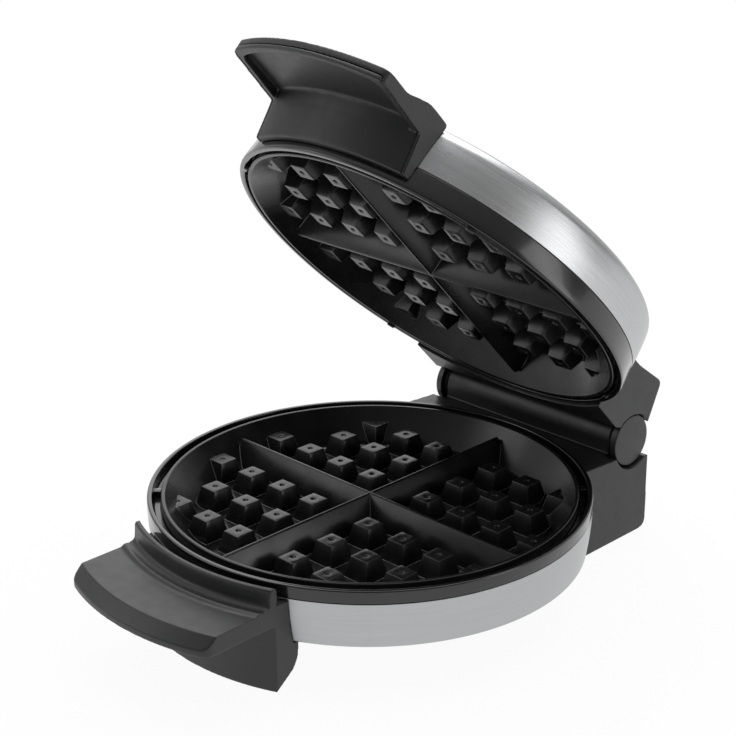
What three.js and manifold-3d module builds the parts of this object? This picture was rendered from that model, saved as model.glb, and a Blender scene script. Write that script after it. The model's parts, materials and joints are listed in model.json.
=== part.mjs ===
import * as THREE from 'three';
import { mergeVertices } from 'three/addons/utils/BufferGeometryUtils.js';
import Module from 'manifold-3d';

// A round countertop cooker with two cast grid plates and a lid on a rear hinge.
// Millimetres, +Z up, the handles towards -Y and the hinge towards +Y, standing on Z = 0.
// Every piece is drawn with the lid shut, and the lid's group then turns it open about the hinge pin.

const wasm = await Module();
wasm.setup();

// Driving dimensions
const openAngle = 46.8;
const baseRadius = 98.6;
const standHeight = 19.9;
const bandHeight = 20.5;
const baseBezelHeight = 6;
const faceGap = 1.5;
const lidBezelHeight = 10.6;
const shellRoom = 12.5;
const domeHeight = 4.1;
const plateDepth = 16;
const plateWall = 2.5;
const handleWidth = 86.6;
const housingWidth = 116;

// How far the round pieces step in from the base's radius, and where the hinge lies
const lidStep = 1.8;
const bezelWidth = 6.2;
const hingeReach = 16.9;
const hingeRise = 2.3;

// Shared small sizes
const clearance = 0.3;
const overrun = 1;
const ringSteps = 40;
const roundSteps = 24;
const smallSteps = 12;

// Radii and places that follow from the base's radius
const lidRadius = baseRadius - lidStep;
const plateRadius = baseRadius - bezelWidth;
const hingeY = baseRadius + hingeReach;

// Heights that follow from the stack of pieces; the shell leaves room for the heater over the plate
const bandTop = standHeight + bandHeight;
const rimZ = bandTop + baseBezelHeight;
const faceZ = rimZ + faceGap;
const lidSeamZ = faceZ + lidBezelHeight;
const shellTop = faceZ + plateDepth + plateWall + shellRoom;
const shellHeight = shellTop - lidSeamZ;
const hingeZ = rimZ + hingeRise;

// Turns named reaches from a radius or a height into the places that they lead to.
function from(start, reaches) {
  return Object.fromEntries(Object.entries(reaches).map(([name, reach]) => [name, start + reach]));
}

// Sizes of each piece
const sheet = { steel: 0.8, aluminium: 0.8, thin: 1.8 };
const band = { roll: 2.2, ...from(baseRadius, { toe: -2.1, waist: -0.6 }) };
const bezel = { edge: 1, ring: 2.2, trough: 5, floor: 1.8, skirt: 5.2, lean: 0.9 };
const lidBezel = {
  ring: 2.7, trough: 3.2, floor: 1.8, skirt: 5.2, skirtWall: 2, ...from(lidRadius, { shoulder: -0.7 }),
};
const peg = { width: 4, sink: 2, proud: 1.2 };
const plate = {
  rim: 1.8, ease: 1.5, easeIn: 0.6, heel: 1.5, heelIn: 2, wall: plateWall, flangeDrop: 7.1, flange: 1.2,
  flangeReach: 2.8, ...from(plateRadius, { floorRadius: -12.9 }),
};
const ridge = { drop: 3.8, crest: 2.4, base: 14, ...from(plateRadius, { radius: -6.4 }) };
const stud = {
  firstX: 17.3, firstY: 18.4, pitchX: 20.7, pitchY: 22, top: 9, base: 13.6, drop: 6.5,
  ...from(plateRadius, { reach: -6.6 }),
};
const element = { tube: 3.3, mouth: 14, tail: 12, bends: 28, sides: 8, ...from(plate.floorRadius, { ring: -24.5 }) };
const boss = { radius: 4, bite: 5, depth: 6, ...from(element.ring, { ring: -15 }) };
const reflector = { rise: 1.6, bolt: 2.2, ...from(element.ring, { radius: 8 }) };
const pan = {
  lip: 2, lipWidth: 1.4, boss: 5, bossHeight: 1.6, room: 13.3, ...from(band.toe, { flat: -12.5 }),
};
const thermostat = { radius: 7.6, height: 5.8, tab: 3, across: 26 };
const fuse = { radius: 2, length: 15, across: 27 };
const terminal = { width: 24, depth: 8, height: 7.6, ...from(baseRadius, { y: -22.6 }) };
const lead = { radius: 1.1, sides: 6, steps: 12 };
const screw = { shank: 1.6, head: 3.2, headHeight: 1.8, bite: 2.4, steps: 8 };
const fixing = {
  handleX: 22, bracketX: 30, rise: 9.5, bandX: 28, bandRise: 7.6, tongueX: 26,
  ...from(baseRadius, { tongueY: -19.6 }),
};
const pin = { radius: 3, play: 0.3 };
const barrel = { radius: 10 };
const disc = { radius: 12.15, depth: 3.2, inset: 1.5, edge: 0.6, seatGap: 1.3, slot: 1.4 };
const cheek = { wall: 5 };
const lens = { x: 0, radius: 4.5, rim: 6, rimHeight: 1.2, depth: 3, ...from(-lidRadius, { y: 34.8 }) };
const grip = {
  gapFloor: 0.9, lipTop: 1.2, lipWall: 2.6, shoulderDrop: 6.8, top: 7.7, thick: 8, corner: 11, lowerCorner: 3,
  heelZ: 7.9, toeEase: 13, wall: 3,
  ...from(baseRadius, {
    lipIn: 5.7, shoulder: 13.4, frontY: 40.9, creaseY: 35.9, sideFrontY: 32.9,
    legFront: 6.9, legBack: -14.6, heelY: -11.9, toeY: -2.4,
  }),
};
const toePad = { width: 12, across: 24, depth: 3, height: 2, proud: 0.6, inset: 1.1 };
const hood = {
  skirtZ: 3.6, bumpTop: 1.3, neckTop: -4, underDrop: -9.1, throatDrop: -10.8, waistDrop: -14.3, corner: 4,
  skin: 1.4, rim: 3, cheek: 4, ceiling: -6.7, shelf: 4, ease: 4,
  ...from(lidRadius, {
    skirtR: 3.4, waistR: 6.2, pocketWall: 8.2, bumpY: -10.2, bumpBack: 2.2, neckY: 14.8, throatY: -1.2,
    frontY: 37.7, sideY: 29.2,
  }),
};
const housing = {
  foot: 1.2, wall: 3, roof: 3, ease: 5, tongueHalf: 40, tongueThick: 3.2,
  ...from(rimZ, { frontTop: -1.6, rearTop: -3.2, rearZ: -7.9 }),
  ...from(baseRadius, { frontY: -20.6, tongue: -22.6 }),
  ...from(hingeY, { ledge: -11.5, rearY: 11.5, footY: 12 }),
};
const heelPad = {
  radius: 6, height: 3.4, ...from(housingWidth / 2, { x: -11 }), ...from(housing.footY, { y: -8.5 }),
};
const gland = { z: 17, bore: 3.4, neck: 5.6, flange: 7.6, flangeThick: 1.6 };
const bracket = {
  lowZ: -1.1, stepZ: -2.4, topZ: 1.7, wall: 3, ease: 3, rearEnd: 12.5,
  ...from(lidRadius, { frontY: -18.2, stepY: -13.7, ledgeY: -5.6 }),
  ...from(hingeY, { topY: -2.5, rearY: 6.6, toeY: -16.1 }),
  ...from(hingeZ, { rearZ: 7.4 }),
};

// Shares of the shell's radius and height, from its seam over the rounded edge to the dome
const sideShares = [[1, 0], [0.994, 0.55], [0.985, 0.84], [0.955, 1.01]];
const domeShares = [[0.6, 0.72]];
const wallShare = 0.985;
const shellInside = lidBezel.shoulder * wallShare - sheet.steel;

// The pan hangs as far below the plate as the heater and the reflector need.
const panZ = rimZ - plateDepth - plate.wall - pan.room;

const black = { color: 0x1b1b1c, roughness: 0.45, metalness: 0 };
const charcoal = { color: 0x333435, roughness: 0.6, metalness: 0 };
const finishes = {
  steel: new THREE.MeshStandardMaterial({ color: 0xa9adaf, roughness: 0.32, metalness: 1 }),
  bezel: new THREE.MeshStandardMaterial({ ...black, roughness: 0.25 }),
  handle: new THREE.MeshStandardMaterial(charcoal),
  housing: new THREE.MeshStandardMaterial({ ...charcoal, color: 0x2b2b2b }),
  grid: new THREE.MeshStandardMaterial({ color: 0x161616, roughness: 0.35, metalness: 0.2 }),
  pan: new THREE.MeshStandardMaterial(black),
  element: new THREE.MeshStandardMaterial({ color: 0x6b6760, roughness: 0.5, metalness: 0.9 }),
  foil: new THREE.MeshStandardMaterial({ color: 0xc4c6c8, roughness: 0.3, metalness: 1 }),
  rubber: new THREE.MeshStandardMaterial({ color: 0x18181a, roughness: 0.85, metalness: 0 }),
  ceramic: new THREE.MeshStandardMaterial({ color: 0xd9d4c6, roughness: 0.6, metalness: 0 }),
  lamp: new THREE.MeshStandardMaterial({ color: 0xb3261b, roughness: 0.2, metalness: 0 }),
  wire: new THREE.MeshStandardMaterial({ color: 0x8c2f23, roughness: 0.6, metalness: 0 }),
};

// Turns a closed geometry into a solid: shared corners merged, collapsed faces dropped, faces out.
function solid(geometry) {
  const bare = geometry.clone();
  bare.deleteAttribute('normal');
  bare.deleteAttribute('uv');
  const merged = mergeVertices(bare);
  const place = merged.attributes.position;
  const faces = [];
  let volume = 0;
  const [a, b, c] = [new THREE.Vector3(), new THREE.Vector3(), new THREE.Vector3()];
  for (let i = 0; i < merged.index.count; i += 3) {
    const [p, q, r] = [merged.index.getX(i), merged.index.getX(i + 1), merged.index.getX(i + 2)];
    if (p === q || q === r || r === p) continue;
    faces.push([p, q, r]);
    a.fromBufferAttribute(place, p);
    b.fromBufferAttribute(place, q);
    c.fromBufferAttribute(place, r);
    volume += a.dot(b.cross(c));
  }
  const ordered = volume < 0 ? faces.map(([p, q, r]) => [p, r, q]) : faces;
  return new wasm.Manifold(new wasm.Mesh({
    numProp: 3,
    vertProperties: new Float32Array(place.array),
    triVerts: new Uint32Array(ordered.flat()),
  }));
}

// Gives a solid back as a geometry.
function surface(shape) {
  const mesh = shape.getMesh();
  const geometry = new THREE.BufferGeometry();
  geometry.setAttribute('position', new THREE.BufferAttribute(new Float32Array(mesh.vertProperties), 3));
  geometry.setIndex(new THREE.BufferAttribute(new Uint32Array(mesh.triVerts), 1));
  geometry.computeVertexNormals();
  return geometry;
}

// A ring or dish: a closed outline of [radius, height] points turned about Z.
function turned(outline, steps = ringSteps) {
  const points = [...outline, outline[0]].map(([r, z]) => new THREE.Vector2(r, z));
  const geometry = new THREE.LatheGeometry(points, steps);
  geometry.rotateX(Math.PI / 2);
  return solid(geometry);
}

// The same outline turned about X, with its height running along +X.
function turnedAlongX(outline, steps, y, z) {
  const points = [...outline, outline[0]].map(([r, x]) => new THREE.Vector2(r, x));
  const geometry = new THREE.LatheGeometry(points, steps);
  geometry.rotateZ(-Math.PI / 2);
  geometry.translate(0, y, z);
  return solid(geometry);
}

// Rounds the corners of an outline whose points are [x, y, radius]; a point with no radius stays sharp.
function eased(outline, steps = 4) {
  const points = [];
  outline.forEach(([x, y, radius = 0], i) => {
    const here = new THREE.Vector2(x, y);
    const before = new THREE.Vector2(...outline.at(i - 1));
    const after = new THREE.Vector2(...outline[(i + 1) % outline.length]);
    const start = here.clone().add(before.sub(here).setLength(radius));
    const end = here.clone().add(after.sub(here).setLength(radius));
    if (radius === 0) points.push(here);
    else points.push(...new THREE.QuadraticBezierCurve(start, here, end).getPoints(steps));
  });
  return points;
}

// A prism across the part: an outline of [y, z] points from x = low to x = high.
function across(outline, low, high, steps) {
  const geometry = new THREE.ExtrudeGeometry(new THREE.Shape(eased(outline, steps)), {
    depth: high - low, bevelEnabled: false,
  });
  const turn = new THREE.Matrix4().makeBasis(
    new THREE.Vector3(0, 1, 0), new THREE.Vector3(0, 0, 1), new THREE.Vector3(1, 0, 0),
  );
  geometry.applyMatrix4(turn);
  geometry.translate(low, 0, 0);
  return solid(geometry);
}

// An upright prism: an outline of [x, y] points from z = low to z = high.
function upright(outline, low, high, steps) {
  const geometry = new THREE.ExtrudeGeometry(new THREE.Shape(eased(outline, steps)), {
    depth: high - low, bevelEnabled: false,
  });
  geometry.translate(0, 0, low);
  return solid(geometry);
}

// A box between two corners.
function block([x0, y0, z0], [x1, y1, z1]) {
  const geometry = new THREE.BoxGeometry(x1 - x0, y1 - y0, z1 - z0);
  geometry.translate((x0 + x1) / 2, (y0 + y1) / 2, (z0 + z1) / 2);
  return solid(geometry);
}

// An upright cylinder or cone frustum.
function post(x, y, low, high, radius, topRadius = radius, steps = smallSteps) {
  const geometry = new THREE.CylinderGeometry(topRadius, radius, high - low, steps);
  geometry.rotateX(Math.PI / 2);
  geometry.translate(x, y, (low + high) / 2);
  return solid(geometry);
}

// A cylinder along X.
function rod(low, high, radius, y, z, steps = roundSteps) {
  return turnedAlongX([[0, low], [radius, low], [radius, high], [0, high]], steps, y, z);
}

// A tube along a curve.
function tube(curve, radius, sides, steps) {
  const circle = new THREE.Shape();
  circle.absarc(0, 0, radius, 0, 2 * Math.PI, false);
  const geometry = new THREE.ExtrudeGeometry(circle, {
    steps, extrudePath: curve, curveSegments: sides / 2, bevelEnabled: false,
  });
  return solid(geometry);
}

// A countersunk fastener with its head at the bottom, its shank upwards.
function fastener(x, y, headZ, length) {
  const neck = headZ + screw.headHeight;
  return post(x, y, headZ, neck, screw.head, screw.head - screw.headHeight / 2, screw.steps)
    .add(post(x, y, headZ + screw.headHeight / 2, headZ + length, screw.shank, screw.shank, screw.steps));
}

// A level fastener with its head at [x, y], pointing outwards along Y, and the hole that it needs.
function levelFastener(x, y, z, length) {
  const tip = y < 0 ? 90 : -90;
  const shank = post(0, 0, 0, length + clearance, screw.shank + clearance, screw.shank + clearance, screw.steps);
  const lay = (shape) => shape.rotate([tip, 0, 0]).translate([x, y, z]);
  return { body: lay(fastener(0, 0, 0, length)), hole: lay(shank) };
}

const around = (radius, turn) => [radius * Math.cos(turn), radius * Math.sin(turn)];
const degrees = (value) => THREE.MathUtils.degToRad(value);
const diagonals = [0, 1, 2, 3].map((quarter) => degrees(45 + 90 * quarter));

const whole = new THREE.Group();
const base = new THREE.Group();
const lidPivot = new THREE.Group();
const lid = new THREE.Group();
lidPivot.position.set(0, hingeY, hingeZ);
lidPivot.rotation.x = -degrees(openAngle);
lid.position.set(0, -hingeY, -hingeZ);
lidPivot.add(lid);
whole.add(base, lidPivot);

// Names a piece, gives it its finish and hangs it in its group.
function place(group, name, shape, finish) {
  const mesh = new THREE.Mesh(surface(shape), finish);
  mesh.name = name;
  group.add(mesh);
}

// The outside of the base's round body grown by a gap, for cutting what fits against it.
function baseEnvelope(gap) {
  return turned([
    [0, panZ - gap], [pan.flat, panZ - gap], [band.toe - band.roll, standHeight - gap],
    [band.toe + gap, standHeight - gap], [band.waist + gap, (standHeight + bandTop) / 2],
    [baseRadius + gap, bandTop], [baseRadius + gap, rimZ + overrun], [0, rimZ + overrun],
  ]);
}

// The outside of the lid's round body grown by a gap.
function lidEnvelope(gap) {
  const crown = shellCrown(gap);
  return turned([
    [0, faceZ - overrun], [lidRadius + gap, faceZ - overrun], [lidRadius + gap, faceZ],
    [lidBezel.shoulder + gap, lidSeamZ], ...crown, [0, shellTop + domeHeight + gap],
  ]);
}

// The lid shell's outline from its seam over the rounded edge to the dome.
function shellCrown(grow) {
  const side = sideShares.map(([r, z]) => [lidBezel.shoulder * r + grow, lidSeamZ + shellHeight * z]);
  const dome = domeShares.map(([r, z]) => [lidBezel.shoulder * r, shellTop + domeHeight * z + grow]);
  return [...side, ...dome];
}

// The cast grid plate, drawn hollow side up with its rim on Z = 0, on four bosses of the given length.
function gridPlate(bossLength) {
  const slopeIn = plateRadius - plate.rim - plate.easeIn;
  const underZ = -plateDepth - plate.wall;
  const dish = turned([
    [0, -plateDepth], [plate.floorRadius, -plateDepth],
    [plate.floorRadius + plate.heelIn, -plateDepth + plate.heel],
    [slopeIn, -plate.ease], [plateRadius - plate.rim, 0], [plateRadius, 0],
    [plateRadius, -plate.flangeDrop], [plateRadius + plate.flangeReach, -plate.flangeDrop],
    [plateRadius + plate.flangeReach, -plate.flangeDrop - plate.flange],
    [plateRadius - plate.wall, -plate.flangeDrop - plate.flange],
    [plate.floorRadius + plate.wall, underZ], [0, underZ],
  ]);
  const sunk = plate.wall / 2;
  const roof = [
    [-ridge.base / 2, -plateDepth - sunk], [ridge.base / 2, -plateDepth - sunk], [ridge.base / 2, -plateDepth],
    [ridge.crest / 2, -ridge.drop], [-ridge.crest / 2, -ridge.drop], [-ridge.base / 2, -plateDepth],
  ];
  const along = across(roof, -ridge.radius, ridge.radius);
  const cross = along.add(along.rotate([0, 0, 90]));
  const keep = post(0, 0, underZ, 0, ridge.radius, ridge.radius, ringSteps);
  let cast = dish.add(cross.intersect(keep));
  const corner = Math.SQRT1_2;
  const one = post(0, 0, -plateDepth - sunk, -stud.drop, stud.base * corner, stud.top * corner, 4);
  const square = one.rotate([0, 0, 45]);
  for (let x = stud.firstX; x < stud.reach; x += stud.pitchX) {
    for (let y = stud.firstY; y < stud.reach; y += stud.pitchY) {
      if (Math.hypot(x, y) > stud.reach) continue;
      for (const [atX, atY] of [[x, y], [-x, y], [-x, -y], [x, -y]]) {
        cast = cast.add(square.translate([atX, atY, 0]).intersect(keep));
      }
    }
  }
  for (const turn of diagonals) {
    const [x, y] = around(boss.ring, turn);
    const foot = underZ - bossLength;
    cast = cast.add(post(x, y, foot, underZ + sunk, boss.radius))
      .subtract(post(x, y, foot - overrun, foot + boss.depth, screw.shank + clearance));
  }
  return cast;
}

// A tubular heating element: a ring open towards +Y whose ends run on outwards as tails, centred on z.
function heater(z) {
  const open = Math.asin(element.mouth / element.ring);
  const points = [];
  for (let i = 0; i <= element.bends; i += 1) {
    const turn = Math.PI / 2 + open + (2 * (Math.PI - open) * i) / element.bends;
    const [x, y] = around(element.ring, turn);
    points.push(new THREE.Vector3(x, y, z));
  }
  const tailY = points[0].y + element.tail;
  points.unshift(new THREE.Vector3(-element.mouth, tailY, z));
  points.push(new THREE.Vector3(element.mouth, tailY, z));
  const curve = new THREE.CatmullRomCurve3(points);
  return tube(curve, element.tube, element.sides, element.bends + element.sides);
}

// Base: steel band, bezel, pan and plate
function buildBaseBody() {
  const inner = sheet.steel;
  let strip = turned([
    [band.toe - band.roll, standHeight], [band.toe, standHeight], [band.waist, (standHeight + bandTop) / 2],
    [baseRadius, bandTop], [baseRadius - inner, bandTop],
    [band.waist - inner, (standHeight + bandTop) / 2], [band.toe - inner, standHeight + inner],
    [band.toe - band.roll, standHeight + inner],
  ]);
  for (const one of lowerHandleScrews()) {
    strip = strip.subtract(one.hole);
    place(base, one.name, one.body, finishes.foil);
  }
  place(base, 'base_band', strip, finishes.steel);

  const ringIn = baseRadius - bezel.ring;
  const troughZ = rimZ - bezel.trough;
  const floorZ = troughZ - bezel.floor;
  const skirtOut = baseRadius - inner - clearance;
  const skirtIn = plateRadius + plate.flangeReach + clearance;
  const floorIn = plateRadius + clearance;
  const troughOut = ringIn - bezel.edge / 2;
  let ring = turned([
    [baseRadius, bandTop + clearance], [baseRadius, rimZ - bezel.edge], [baseRadius - bezel.edge, rimZ],
    [ringIn, rimZ], [troughOut, troughZ + bezel.edge], [troughOut - bezel.edge, troughZ],
    [floorIn, troughZ], [floorIn, floorZ], [skirtIn, floorZ],
    [skirtIn, floorZ - bezel.skirt], [skirtOut - bezel.lean, floorZ - bezel.skirt],
    [skirtOut, bandTop + clearance],
  ]);
  for (const turn of diagonals) {
    const nub = block(
      [floorIn, -peg.width / 2, troughZ - bezel.floor / 2],
      [ringIn, peg.width / 2, rimZ - peg.sink],
    );
    ring = ring.add(nub.rotate([0, 0, THREE.MathUtils.radToDeg(turn)]));
  }
  place(base, 'base_bezel', ring, finishes.bezel);

  const lipZ = standHeight + inner + clearance;
  const mouth = band.toe - band.roll - clearance;
  let cover = turned([
    [0, panZ], [pan.flat, panZ], [mouth, standHeight], [mouth, lipZ], [mouth + pan.lipWidth, lipZ],
    [mouth + pan.lipWidth, lipZ + pan.lip], [mouth - sheet.thin, lipZ + pan.lip],
    [mouth - sheet.thin, standHeight + sheet.thin], [pan.flat - sheet.thin / 2, panZ + sheet.thin],
    [0, panZ + sheet.thin],
  ]);
  const bossTop = panZ + sheet.thin + pan.bossHeight;
  for (const turn of diagonals) {
    const [x, y] = around(boss.ring, turn);
    cover = cover.add(post(x, y, panZ + sheet.thin / 2, bossTop, pan.boss));
    cover = cover.subtract(post(x, y, panZ - overrun, panZ + screw.headHeight + clearance * 2,
      screw.head + clearance));
    cover = cover.subtract(post(x, y, panZ - overrun, bossTop + overrun, screw.shank + clearance));
  }
  for (const one of tongueScrews()) {
    cover = cover.subtract(one.hole);
  }
  place(base, 'base_pan', cover, finishes.pan);

  const reflectorZ = bossTop + clearance;
  const bossFoot = reflectorZ + sheet.aluminium + clearance;
  place(base, 'lower_reflector', reflectorDish(reflectorZ), finishes.foil);
  diagonals.forEach((turn, i) => {
    const [x, y] = around(boss.ring, turn);
    const reach = bossFoot - panZ + boss.bite;
    place(base, `pan_screw_${i + 1}`, fastener(x, y, panZ + clearance / 2, reach), finishes.foil);
  });
  const grid = gridPlate(rimZ - plateDepth - plate.wall - bossFoot);
  place(base, 'lower_plate', grid.translate([0, 0, rimZ]), finishes.grid);
}

// The bright dish that throws heat back at the plate, with holes for the fasteners under it.
function reflectorDish(z) {
  const rise = reflector.rise;
  const t = sheet.aluminium;
  const lipIn = reflector.radius - rise;
  let dish = turned([
    [0, z], [lipIn, z], [reflector.radius, z + rise], [reflector.radius, z + rise + t],
    [lipIn - t / 2, z + t], [0, z + t],
  ]);
  for (const turn of diagonals) {
    const [x, y] = around(boss.ring, turn);
    dish = dish.subtract(post(x, y, z - overrun, z + t + overrun, reflector.bolt));
  }
  return dish;
}

// Base: what is under the plate
function buildBaseInsides() {
  const underZ = rimZ - plateDepth - plate.wall;
  const elementZ = underZ - clearance - element.tube;
  place(base, 'lower_element', heater(elementZ), finishes.element);

  const seatZ = underZ - clearance;
  const canFoot = seatZ - thermostat.height;
  const tabs = block(
    [thermostat.across - thermostat.tab / 2, -thermostat.radius - thermostat.tab, canFoot],
    [thermostat.across + thermostat.tab / 2, thermostat.radius + thermostat.tab, canFoot + sheet.thin],
  );
  const can = post(thermostat.across, 0, canFoot, seatZ, thermostat.radius, thermostat.radius, roundSteps);
  place(base, 'thermostat', can.add(tabs), finishes.ceramic);

  const fuseBody = rod(-fuse.length / 2, fuse.length / 2, fuse.radius, 0, seatZ - fuse.radius, smallSteps);
  place(base, 'thermal_fuse', fuseBody.rotate([0, 0, 90]).translate([-fuse.across, 0, 0]), finishes.foil);

  const shelfZ = panZ + sheet.thin + clearance;
  place(base, 'terminal_block', block(
    [-terminal.width / 2, terminal.y - terminal.depth / 2, shelfZ],
    [terminal.width / 2, terminal.y + terminal.depth / 2, shelfZ + terminal.height],
  ), finishes.ceramic);

  const leadZ = shelfZ + terminal.height / 2;
  const startY = terminal.y - terminal.depth / 2 - clearance;
  const laneShares = [0.3, -0.3];
  const ends = [
    ['thermostat_lead', [thermostat.across, thermostat.radius + thermostat.tab + clearance]],
    ['fuse_lead', [-fuse.across, fuse.length / 2 + clearance]],
  ];
  ends.forEach(([name, [endX, endY]], i) => {
    const laneX = terminal.width * laneShares[i];
    const endZ = i === 0 ? canFoot + lead.radius : seatZ - fuse.radius;
    const route = [[laneX, startY, leadZ], [laneX, element.ring, endZ],
      [(laneX + 3 * endX) / 4, (startY + 3 * endY) / 4, endZ], [endX, endY, endZ]];
    const curve = new THREE.CatmullRomCurve3(route.map((point) => new THREE.Vector3(...point)));
    place(base, name, tube(curve, lead.radius, lead.sides, lead.steps), finishes.wire);
  });
}

// The lower handle: a curved lip, a flat flange and a hollow leg that stands on the table.
function buildLowerHandle() {
  const half = handleWidth / 2;
  const topZ = rimZ - grip.top;
  const flangeFoot = topZ - grip.thick;
  const farR = grip.frontY + grip.corner;
  const lipOut = grip.lipIn + grip.lipWall;
  const section = turned([
    [band.toe - band.roll, flangeFoot], [farR, flangeFoot], [farR, topZ], [grip.shoulder + grip.lipWall, topZ],
    [grip.shoulder, rimZ - grip.shoulderDrop], [lipOut + grip.lipWall, rimZ - grip.shoulderDrop + grip.lipWall],
    [lipOut, rimZ - grip.lipWall], [lipOut, rimZ + grip.lipTop], [grip.lipIn, rimZ + grip.lipTop],
    [grip.lipIn, topZ + grip.gapFloor], [band.toe - band.roll, topZ + grip.gapFloor],
  ]);
  const plan = frontOutline(half, grip.frontY, grip.sideFrontY, grip.corner, grip.legBack / 2);
  const flange = section.intersect(upright(plan, flangeFoot - overrun, rimZ + grip.lipTop + overrun));
  const slope = across([
    [-grip.frontY - overrun, flangeFoot - overrun], [-grip.creaseY + grip.lowerCorner, flangeFoot - overrun],
    [-grip.frontY - overrun, flangeFoot + grip.lowerCorner],
  ], -half - overrun, half + overrun);
  const topSlope = across([
    [-grip.creaseY, topZ + overrun], [-grip.creaseY, topZ], [-grip.frontY, flangeFoot + grip.lowerCorner],
    [-grip.frontY - grip.corner, flangeFoot], [-grip.frontY - grip.corner, topZ + overrun],
  ], -half - overrun, half + overrun);
  const legShape = [
    [-grip.legBack, topZ], [-grip.legBack, grip.toeEase], [-grip.heelY, grip.heelZ],
    [-grip.toeY, toePad.proud], [-farR, toePad.proud], [-farR, topZ],
  ];
  const legRound = post(0, 0, toePad.proud, topZ - grip.thick / 2, grip.legFront, grip.legFront, ringSteps);
  const leg = across(legShape, -half, half).intersect(legRound);
  const roomTop = standHeight - grip.wall;
  const hollowShape = [
    [-grip.legBack + overrun, roomTop], [-grip.legBack + overrun, grip.toeEase],
    [-grip.heelY, grip.heelZ + grip.wall], [-grip.toeY - grip.wall, grip.wall * 2],
    [-farR, grip.wall * 2], [-farR, roomTop],
  ];
  const hollowRound = post(0, 0, 0, topZ, grip.legFront - grip.wall, grip.legFront - grip.wall, ringSteps);
  const hollow = across(hollowShape, -half + grip.wall, half - grip.wall).intersect(hollowRound);
  let handle = flange.subtract(slope).subtract(topSlope).add(leg).subtract(hollow);
  handle = handle.subtract(baseEnvelope(clearance));
  for (const one of lowerHandleScrews()) {
    handle = handle.subtract(one.hole);
  }
  for (const side of [-1, 1]) {
    const x = side * toePad.across;
    const outerX = toePad.across + toePad.width / 2;
    const padY = -Math.sqrt(grip.legFront ** 2 - outerX ** 2) + toePad.inset;
    const low = [x - toePad.width / 2 - clearance, padY - clearance, -overrun];
    const high = [x + toePad.width / 2 + clearance, padY + toePad.depth + clearance,
      toePad.height + clearance];
    handle = handle.subtract(block(low, high));
    place(base, side < 0 ? 'front_foot_left' : 'front_foot_right', block(
      [x - toePad.width / 2, padY, 0], [x + toePad.width / 2, padY + toePad.depth, toePad.height],
    ), finishes.rubber);
  }
  place(base, 'lower_handle', handle, finishes.handle);
}

// The plan of a handle: straight sides, an arched front and rounded front corners.
function frontOutline(half, frontY, sideY, corner, backY, steps = 8) {
  const sag = frontY - sideY;
  const radius = (half * half + sag * sag) / (2 * sag);
  const centreY = -frontY + radius;
  const reach = Math.asin((half - corner) / radius);
  const points = [[half, -backY], [-half, -backY], [-half, -sideY + corner]];
  for (let i = 0; i <= steps; i += 1) {
    const turn = -reach + (2 * reach * i) / steps;
    points.push([radius * Math.sin(turn), centreY - radius * Math.cos(turn)]);
  }
  points.push([half, -sideY + corner]);
  return points;
}

// The rear housing: hollow block behind the band, with the hinge barrel on top.
function buildHousing() {
  const half = housingWidth / 2;
  const cheekIn = half - disc.inset - cheek.wall;
  const mid = [
    [housing.frontY, housing.foot], [housing.footY, housing.foot, housing.ease],
    [housing.rearY, housing.rearZ], [hingeY + barrel.radius, housing.rearZ],
    [hingeY + barrel.radius, hingeZ], [hingeY - barrel.radius, hingeZ],
    [hingeY - barrel.radius, housing.rearTop], [housing.frontY, housing.frontTop],
  ];
  const seat = rod(-half - overrun, half + overrun, disc.radius + disc.seatGap, hingeY, hingeZ);
  const outer = across([
    [housing.frontY, housing.foot], [housing.footY, housing.foot, housing.ease],
    [housing.rearY, housing.rearZ], [hingeY, housing.rearZ], [housing.ledge, housing.rearTop],
    [housing.frontY, housing.frontTop],
  ], -half, half);
  const bulk = outer.subtract(seat);
  const centre = across(mid, -cheekIn + clearance, cheekIn - clearance)
    .add(rod(-cheekIn + clearance, cheekIn - clearance, barrel.radius, hingeY, hingeZ));
  const hollow = across([
    [housing.frontY, -overrun], [housing.footY - housing.wall, -overrun],
    [housing.footY - housing.wall, housing.ease], [housing.rearY - housing.wall, housing.rearZ - housing.roof],
    [hingeY, hingeZ - disc.radius - disc.seatGap - housing.roof],
    [housing.ledge - housing.roof, housing.rearTop - housing.roof * 2],
    [housing.frontY, housing.frontTop - housing.roof],
  ], -half + housing.wall, half - housing.wall);
  const frontWall = post(0, 0, 0, rimZ, baseRadius + clearance + housing.wall,
    baseRadius + clearance + housing.wall, ringSteps);
  const cavity = hollow.subtract(frontWall);
  let body = bulk.add(centre).subtract(cavity);
  for (const side of [-1, 1]) {
    const x = side * heelPad.x;
    body = body.add(post(x, heelPad.y, housing.foot, housing.rearZ - housing.roof - overrun,
      heelPad.radius, heelPad.radius, smallSteps));
    body = body.subtract(post(x, heelPad.y, -overrun, heelPad.height + clearance,
      heelPad.radius - housing.wall / 2 + clearance, heelPad.radius - housing.wall / 2 + clearance));
    place(base, side < 0 ? 'rear_foot_left' : 'rear_foot_right',
      heelFoot(x), finishes.rubber);
  }
  const tongue = block(
    [-housing.tongueHalf, housing.tongue, panZ - clearance - housing.tongueThick],
    [housing.tongueHalf, baseRadius + housing.wall, panZ - clearance],
  );
  body = body.add(tongue).subtract(baseEnvelope(clearance));
  for (const one of tongueScrews()) {
    body = body.subtract(one.hole);
    place(base, one.name, one.body, finishes.foil);
  }
  body = body.subtract(rod(-half, half, pin.radius + clearance, hingeY, hingeZ));
  body = body.subtract(glandShape(gland.neck + clearance, 0));
  place(base, 'rear_housing', body, finishes.housing);
  place(base, 'cord_gland', glandShape(gland.neck, gland.bore), finishes.rubber);
}

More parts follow.
